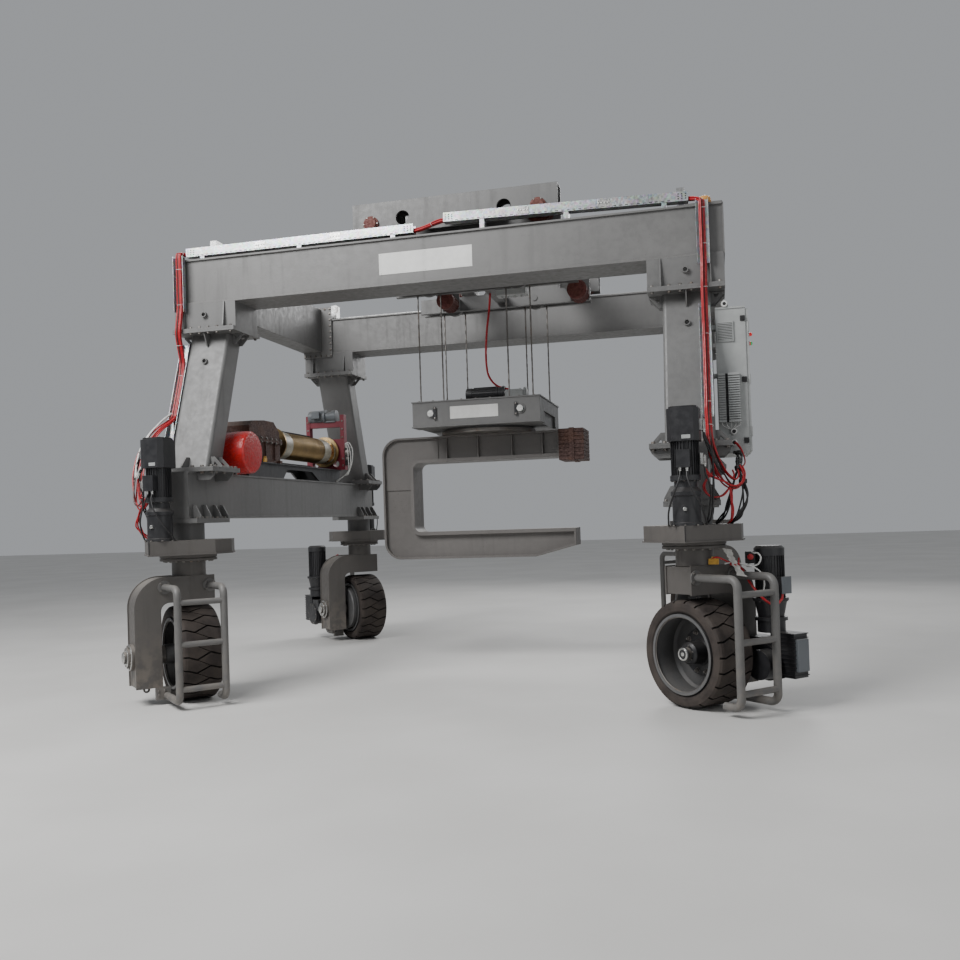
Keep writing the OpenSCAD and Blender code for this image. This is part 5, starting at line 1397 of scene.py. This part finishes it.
@dataclass(frozen=True)
class Hoist:
    """Rope falls, hanging cable, and the details of trolley and spreader."""

    trolley_x: float = 240.0
    spreader_x: float = 117.0
    sheave_reach: float = 558.0
    rope_spread: float = 146.0
    rope_y: float = 600.0
    rope_ends: tuple[float, float] = (4740.3, 3185.0)
    rope_radius: float = 10.0
    rope_lay: tuple[int, float, float] = (6, 2.6, 1 / 125)
    pin_z: float = 3151.0
    deck_z: float = 3304.4
    motor_y: float = -100.0
    cable_radius: float = 13.0
    cable_run: tuple[Point, ...] = (
        (217, -100, 4700), (200, -104, 4500), (166, -112, 4260), (146, -118, 4021), (143, -120, 3833),
        (160, -116, 3680), (206, -112, 3586), (272, -106, 3520), (346, -102, 3490), (412, -100, 3470),
        (434, -100, 3448))
    motor_profile: Profile = (
        (12, 0), (78, 0), (86, 6), (88, 22), (88, 84), (83, 87), (83, 93), (87, 96), (87, 392), (92, 396),
        (92, 414), (82, 418), (82, 470), (95, 474), (95, 500), (60, 502))
    pin_end: Profile = ((39, 0), (39, 3), (35, 7), (14, 8), (12, 5), (2, 5))

    def ropes(self) -> None:
        """Twists the eight rope falls between trolley and spreader."""
        ropes = Former("rope_falls", Finish.DARK, "trolley")
        top, low = self.rope_ends
        for e, s, k in ((e, s, k) for e in ENDS for s in ENDS for k in ENDS):
            x, y = self.spreader_x + e * self.sheave_reach + k * self.rope_spread, s * self.rope_y
            line = [Vector((x, y, top + (low - top) * j / 150)) for j in range(151)]
            ropes.tube(line, self.rope_radius, 12, self.rope_lay)
        ropes.done("hoist_ropes", bend=("spreader", (0, 0, 4.70), (0, 0, 3.22)))

    def cable(self) -> None:
        """Hangs the red cable from the trolley to the turning motor."""
        line = curve(self.cable_run, 5)
        cable = Former("hanging_cable", Finish.CABLE, "trolley")
        cable.tube(line, self.cable_radius, 12)
        piece = cable.done("spreader_cable", bend=("spreader", (0, 0, 4.66), (0, 0, 3.53)))
        length = sum((b - a).length for a, b in zip(line, line[1:])) / 1000
        [tuple(q / 1000 for q in v) for v in line]

    def trolley(self) -> None:
        """Builds the bolts of the trolley's bearings and motors, and its box."""
        bolts = Former("trolley_bolts", Finish.DARK, "trolley")
        for sy in ENDS:
            for x in (self.trolley_x - 940, self.trolley_x + 940):
                for out in ENDS:
                    bolts.bolt_ring(spot((x, sy * GIRDER_Y + out * 116, 5150.3), (0, out, 0)), 78, 6, 16)
        for x, z, radius in ((-283, 4583.3, 100), (1368, 4575.3, 110)):
            bolts.bolt_ring(spot((x, -189, z), BACK), radius, 8, 15)
        bolts.done()
        box = Former("trolley_box", Finish.CABINET, "trolley")
        box.slab((373, 173, 129), spot((559, -397, 4572.8)), 4)
        box.slab((340, 100, 5), spot((559, -483, 4637), FRONT), 2)
        for x in (440, 520, 600, 680):
            box.lathe(((14, 0), (14, 12), (11, 15), (11, 24)), spot((x, -397, 4573), DOWN), 12)
        box.done()

    def motor(self) -> None:
        """Builds the turning motor with its gear case."""
        x0, y0, deck = self.spreader_x, self.motor_y, self.deck_z
        motor = Former("turning_motor", Finish.BLACK, "spreader")
        axis = spot((x0 - 246, y0, 3422), RIGHT)
        motor.lathe(self.motor_profile, axis, 56)
        for c, s in around(18):
            motor.slab((5, 296, 7), axis @ spot((85.6 * c, 85.6 * s, 244), (c, s, 0)), 1.5)
        for x in (x0 - 80, x0 + 90):
            motor.slab((46, 150, 24), spot((x, y0, deck)), 3)
            motor.slab((40, 84, 40), spot((x, y0, deck + 17.6)), 3)
        motor.slab((100, 80, 30), spot((x0 + 60, -28, 3470), (0, 0.8, 0.6)), 5)
        motor.done("spreader_motor")
        case = Former("turning_gear", Finish.CABINET, "spreader")
        case.slab((244, 232, 142), spot((x0 + 392, y0, deck)), 14)
        case.slab((180, 190, 16), spot((x0 + 392, y0, 3440)), 5)
        case.lathe(((96, 0), (96, 26), (84, 34), (30, 36)), spot((x0 + 500, y0, 3388), RIGHT), 32)
        for x in (-70, 70):
            for y in (-75, 75):
                case.bolt(spot((x0 + 392 + x, y0 + y, 3456)), 16)
        case.done()

    def spreader(self) -> None:
        """Builds the pin ends, keepers and bolts of the spreader."""
        pins = [(e, s) for e in ENDS for s in ENDS]
        block("pin_keepers", Finish.BLACK, (
            ((36, 158, 3), spot((self.spreader_x + e * 506, s * 701.6, self.pin_z), (0, s, 0)), 1)
            for e, s in pins), "spreader")
        bright = Former("spreader_pin_ends", Finish.WHITE, "spreader")
        bolts = Former("spreader_bolts", Finish.DARK, "spreader")
        for e, s in pins:
            x = self.spreader_x + e * self.sheave_reach
            bright.lathe(self.pin_end, spot((x, s * 712, self.pin_z), (0, s, 0)), 32)
            bolts.bolt_face(((x - e * 52, s * 702, self.pin_z + z) for z in (-62, 62)), (0, s, 0), 17)
        for s in ENDS:
            for k in range(9):
                bolts.bolt(spot((self.spreader_x - 720 + 180 * k, s * 640, 3305), turn=k * 11), 22)
        bolts.bolt_ring(spot((self.spreader_x, 0, 2985), DOWN), 545, 28, 22)
        bright.done()
        bolts.done()

    def build(self) -> None:
        """Builds the hoist's pieces."""
        for step in (self.ropes, self.cable, self.trolley, self.motor, self.spreader):
            step()


@dataclass(frozen=True)
class Plate:
    """A bare plate with rivets."""

    name: str
    body: str
    width: float
    height: float
    middle: Point
    face: Point

    def build(self) -> None:
        """Builds the plate."""
        sheet = Former(self.name, Finish.BARE, self.body, spot(self.middle, self.face))
        sheet.slab((self.width, self.height, 3), Matrix.Identity(4), 1.2)
        reach, rise = self.width / 2 - 22, self.height / 2 - 16
        for x in (-reach, 0, reach):
            for y in (-rise, rise):
                sheet.lathe(((6, 2), (6, 4), (4, 6), (1, 6.6)), spot((x, y, 0)), 12)
        sheet.done()


@dataclass(frozen=True)
class Winch:
    """Films, gear motor, switch and bolts of the winch."""

    x: float = -2685.0
    drum_z: float = 2906.3
    motor_start: Point = (-2850.0, -1736.0, SILL_TOP + 252.0)
    motor_radius: float = 252.0
    film_profile: Profile = (
        (0.02, 0), (0.5, 0), (0.86, 2), (0.965, 26), (1.0, 60), (1.0, 100), (1.0, 150), (1.0, 205),
        (0.975, 235), (0.965, 262), (0.985, 300), (1.0, 340), (1.0, 390), (1.0, 440), (0.99, 500),
        (0.97, 536), (0.9, 553), (0.5, 560), (0.02, 560))
    band_profile: Profile = ((243, -5), (246, -5), (246, 5), (243, 5))
    drum_radius: float = 178.2
    drum_core: float = 177.0
    film_runs: tuple[Point, ...] = ((-452, -190, 3.2), (870, 1092, 3.2), (1214, 1238, 3.2))
    gold_runs: tuple[Point, ...] = ((1104, 1206, 2.2),)
    motor_rear: Profile = ((88, 232), (104, 236), (104, 264), (75, 268), (75, 350), (90, 356), (90, 424),
                           (60, 428))
    motor_front: Profile = ((20, -6), (84, -6), (94, 4), (95, 60), (88, 66))
    lead_sags: tuple[tuple[float, float], ...] = ((60, 90), (96, 40), (24, 130))

    def film(self) -> None:
        """Wraps the motor in crumpled film, held by two bands."""
        chance = random.Random(5)
        waves = [(chance.randint(3, 19), chance.uniform(0, math.tau), chance.uniform(0.004, 0.03),
                  chance.uniform(0.5, 1.0)) for _ in range(16)]
        x0, y0, z0 = self.motor_start
        rings = []
        for share, depth in self.film_profile:
            ring = []
            for angle in (math.tau * m / 96 for m in range(96)):
                dip = sum(w * math.sin(n * angle + phase + depth * f) for n, phase, f, w in waves) / 6
                r = self.motor_radius * share * (1 - 0.016 * abs(dip)) - 2
                ring.append(Vector((x0 + depth, y0 + r * math.cos(angle), z0 + r * math.sin(angle))))
            rings.append(ring)
        film = Former("winch_motor_film", Finish.FILM)
        film.skin(rings)
        film.done("winch_motor")
        bands = Former("winch_film_bands", Finish.CRIMSON)
        for depth in (248, 262):
            bands.lathe(self.band_profile, spot((x0 + depth, y0, z0), RIGHT), 64, closed=True)
        bands.done()

    def drum(self) -> None:
        """Lays pale film and a polished band on the drum."""
        low, core, axle = self.drum_radius, self.drum_core, spot((self.x, 0, self.drum_z), BACK)
        for name, finish, runs in (("drum_film", Finish.FOIL, self.film_runs),
                                   ("drum_gold", Finish.GOLD, self.gold_runs)):
            band = Former(name, finish, "drum")
            for start, end, lift in runs:
                section = ((low, start), (low + lift, start + 2), (low + lift, end - 2), (low, end),
                           (core, end), (core, start))
                band.lathe(section, axle, 72, closed=True)
            band.done()

    def motor(self) -> None:
        """Builds the grey gear motor on the end frame, with its ribs and box."""
        motor = Former("frame_motor", Finish.CASE)
        place = spot((self.x - 250, 1350, SILL_TOP + 985), RIGHT)
        ribs = [(c * r, s * r) for (c, s), r in zip(around(108), (96, 88, 88) * 36)]
        motor.skin([[place @ Vector((x, y, h)) for x, y in ribs] for h in (62, 236)])
        motor.lathe(self.motor_front, place, 48)
        motor.lathe(self.motor_rear, place, 48)
        motor.slab((120, 100, 52), spot((self.x - 110, 1262, SILL_TOP + 1000), FRONT), 6)
        motor.slab((150, 120, 26), spot((self.x + 90, 1350, SILL_TOP + 892)), 4)
        motor.done()

    def switch(self) -> None:
        """Builds the limit switch at the drum's far end, and the gearbox's yellow breather."""
        block("drum_switch_box", Finish.SHEATH, (
            ((96, 120, 210), spot((-2338, 1350, SILL_TOP + 300)), 8),
            ((70, 90, 60), spot((-2352, 1350, SILL_TOP + 250)), 6),
            ((130, 60, 12), spot((-2420, 1350, SILL_TOP + 330)), 3)))
        fitting = Former("drum_switch_fitting", Finish.DARK)
        for rise, sides, profile in ((430, 24, ((46, 0), (46, 10), (38, 16), (38, 30), (16, 36))),
                                     (350, 6, ((26, 0), (26, 16), (20, 20), (20, 34)))):
            fitting.lathe(profile, spot((-2330, 1291, SILL_TOP + rise), FRONT), sides)
        fitting.done()
        leads("drum_switch_leads", Finish.WHITE, ((
            ((-2338 - 12 * k, 1300, SILL_TOP + 500), (-2352, 1264 - 8 * k, SILL_TOP + 560),
             (-2338 + reach / 2, 1250, SILL_TOP + 590 - drop / 2), (-2338 + reach, 1262, SILL_TOP + 480 - drop),
             (-2330 + reach / 2, 1270, SILL_TOP + 260 - drop), (-2400, 1284, SILL_TOP + 90),
             (-2560 + 20 * k, 1290, SILL_TOP + 8)), 6.5, 8) for k, (reach, drop) in enumerate(self.lead_sags)))
        cap = Former("gearbox_breather", Finish.YELLOW)
        cap.slab((84, 52, 22), spot((-2472, -1113, 2660), RIGHT), 6)
        cap.lathe(((20, 0), (20, 14), (15, 18)), spot((-2462, -1113, 2686)), 16)
        cap.done()

    def bolts(self) -> None:
        """Bolts the gearbox, the base and the end frame."""
        bolts = Former("winch_bolts", Finish.DARK)
        for side in ENDS:
            rows = ((self.x + side * 215, y, 2906 + z) for y in range(-1430, -649, 130) for z in (-24, 24))
            bolts.bolt_face(rows, (side, 0, 0), 22)
            for y, axis in ((1300, FRONT), (1400, BACK)):
                bolts.bolt_face(((self.x + side * 270, y, z) for z in (2700, 2800, 3120, 3240, 3360)), axis, 20)
        bolts.done()

    def build(self) -> None:
        """Builds the winch's pieces."""
        self.film()
        self.drum()
        self.motor()
        block("winch_tie_beams", Finish.BLACK, (
            ((53, 1912, 43), spot((self.x - 270, 342, self.drum_z + rise)), 2) for rise in (-231.5, 213.5)))
        self.switch()
        self.bolts()


@dataclass(frozen=True)
class Electrics:
    """Lamps, hinges, slots and glands of the cabinet, and the beacon."""

    lamp_x: float = 3274.0
    lamp_y: float = -1970.0
    top: float = 3874.3
    front: float = -2040.0
    low: float = 2412.3
    lamp_drops: tuple[float, float] = (278, 370)
    gland_rises: tuple[float, float] = (105, 215)
    lens: Profile = ((19, 20), (19, 27), (16, 33), (10, 37), (3, 38.4))
    gland: Profile = ((29, 0), (30, 9), (26, 12), (20, 12), (20, 0))
    top_gland: Profile = ((30, 0), (32, 6), (32, 34), (28, 38), (17, 38), (17, 0))
    lamp_ring: Profile = ((19, 0), (26, 0), (26, 7), (23, 10), (19, 10))
    beacon_base: Profile = ((60, -0.5), (74, -0.5), (76, 5), (76, 20), (70, 27), (60, 27))
    beacon_dome: Profile = ((64, 24), (66, 30), (64, 33), (66, 36), (64, 39), (66, 42), (66, 66), (62, 84),
                            (50, 98), (30, 106), (6, 108))

    def door(self, name: str, finish: Finish, profile: Profile, drops: tuple[float, ...], closed: bool) -> None:
        """Builds turned parts of the door's lamps.

        Args:
            name: the piece's name.
            finish: its finish.
            profile: their outline.
            drops: how far each lamp is under the cabinet's top.
            closed: whether the outline is a ring's section.
        """
        former = Former(name, finish, "door")
        for drop in drops:
            former.lathe(profile, spot((self.lamp_x, self.lamp_y, self.top - drop), RIGHT), 24, closed)
        former.done()

    def cabinet(self) -> None:
        """Builds the cabinet's hinges, vent slots and glands."""
        front, low = self.front, self.low
        dark = Former("cabinet_hinges", Finish.SHEATH)
        for z in (self.top - 124, self.top - 732, self.top - 1338):
            dark.slab((46, 54, 13), spot((3221, front, z), FRONT), 3)
            dark.slab((14, 40, 17), spot((3237, front, z), FRONT), 2)
        for z in range(1130, 1304, 16):
            dark.slab((138, 4.5, 1.2), spot((3049, front - 13.6, low + z + 11.5), FRONT), 0.4)
        dark.slab((22, 486, 2), spot((3048, front - 20, low + 553), FRONT), 0.6)
        for z in self.gland_rises:
            dark.lathe(((20, 0), (20, 4), (2, 4)), spot((3101, front - 33.6, low + z), FRONT), 24)
        dark.lathe(((17, 0), (17, 5), (2, 5)), spot((3052, front - 20.6, 3905), FRONT), 24)
        dark.done()
        glands = Former("cabinet_glands", Finish.WHITE)
        for z in self.gland_rises:
            glands.lathe(self.gland, spot((3101, front - 31, low + z), FRONT), 30, closed=True)
        glands.lathe(self.top_gland, spot((3052, front + 14, 3905), FRONT), 30, closed=True)
        for k in range(5):
            run = ((2990 + 44 * k, front - 30, low + 310), (3000 + 40 * k, front - 40, low + 276),
                   (3050 + 14 * k, front - 30, low + 246), (3080 + 10 * k, front - 8, low + 228))
            glands.tube(curve(run), 3.2, 6)
        glands.done()

    def build(self) -> None:
        """Builds the lamps, the cabinet's trim and the beacon."""
        red, green = self.lamp_drops
        self.door("lamp_red", Finish.LAMP_RED, self.lens, (red,), False)
        self.door("lamp_green", Finish.GREEN, self.lens, (green,), False)
        self.cabinet()
        self.door("lamp_rings", Finish.BRIGHT, self.lamp_ring, self.lamp_drops, True)
        place = spot((2898, -1943, GIRDER_TOP))
        base, dome = Former("beacon_base", Finish.BLACK), Former("beacon_glass", Finish.AMBER)
        base.lathe(self.beacon_base, place, 48)
        base.done("beacon")
        dome.lathe(self.beacon_dome, place, 48)
        dome.done()


def main() -> None:
    """Builds the scene in order."""
    logging.basicConfig(level=logging.INFO, format="%(name)s: %(message)s")
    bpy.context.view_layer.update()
    studio = Studio()
    for step in (studio.camera, studio.light, studio.floor, dress_nodes):
        step()
    corners = [WheelCorner(*corner) for corner in CORNERS]
    plates = [Plate("girder_plate", "frame", 1050, 233, (-47, -2036, 4653.5), FRONT),
              Plate("spreader_plate", "spreader", 600, 150, (100, -680, 3150), FRONT),
              Plate("spreader_plate_back", "spreader", 600, 150, (100, 680, 3150), BACK)]
    for part in (*corners, Structure(), Cabling(), Wiring(), Hoist(), *plates, Winch(), Electrics()):
        part.build()


if __name__ == "__main__":
    main()
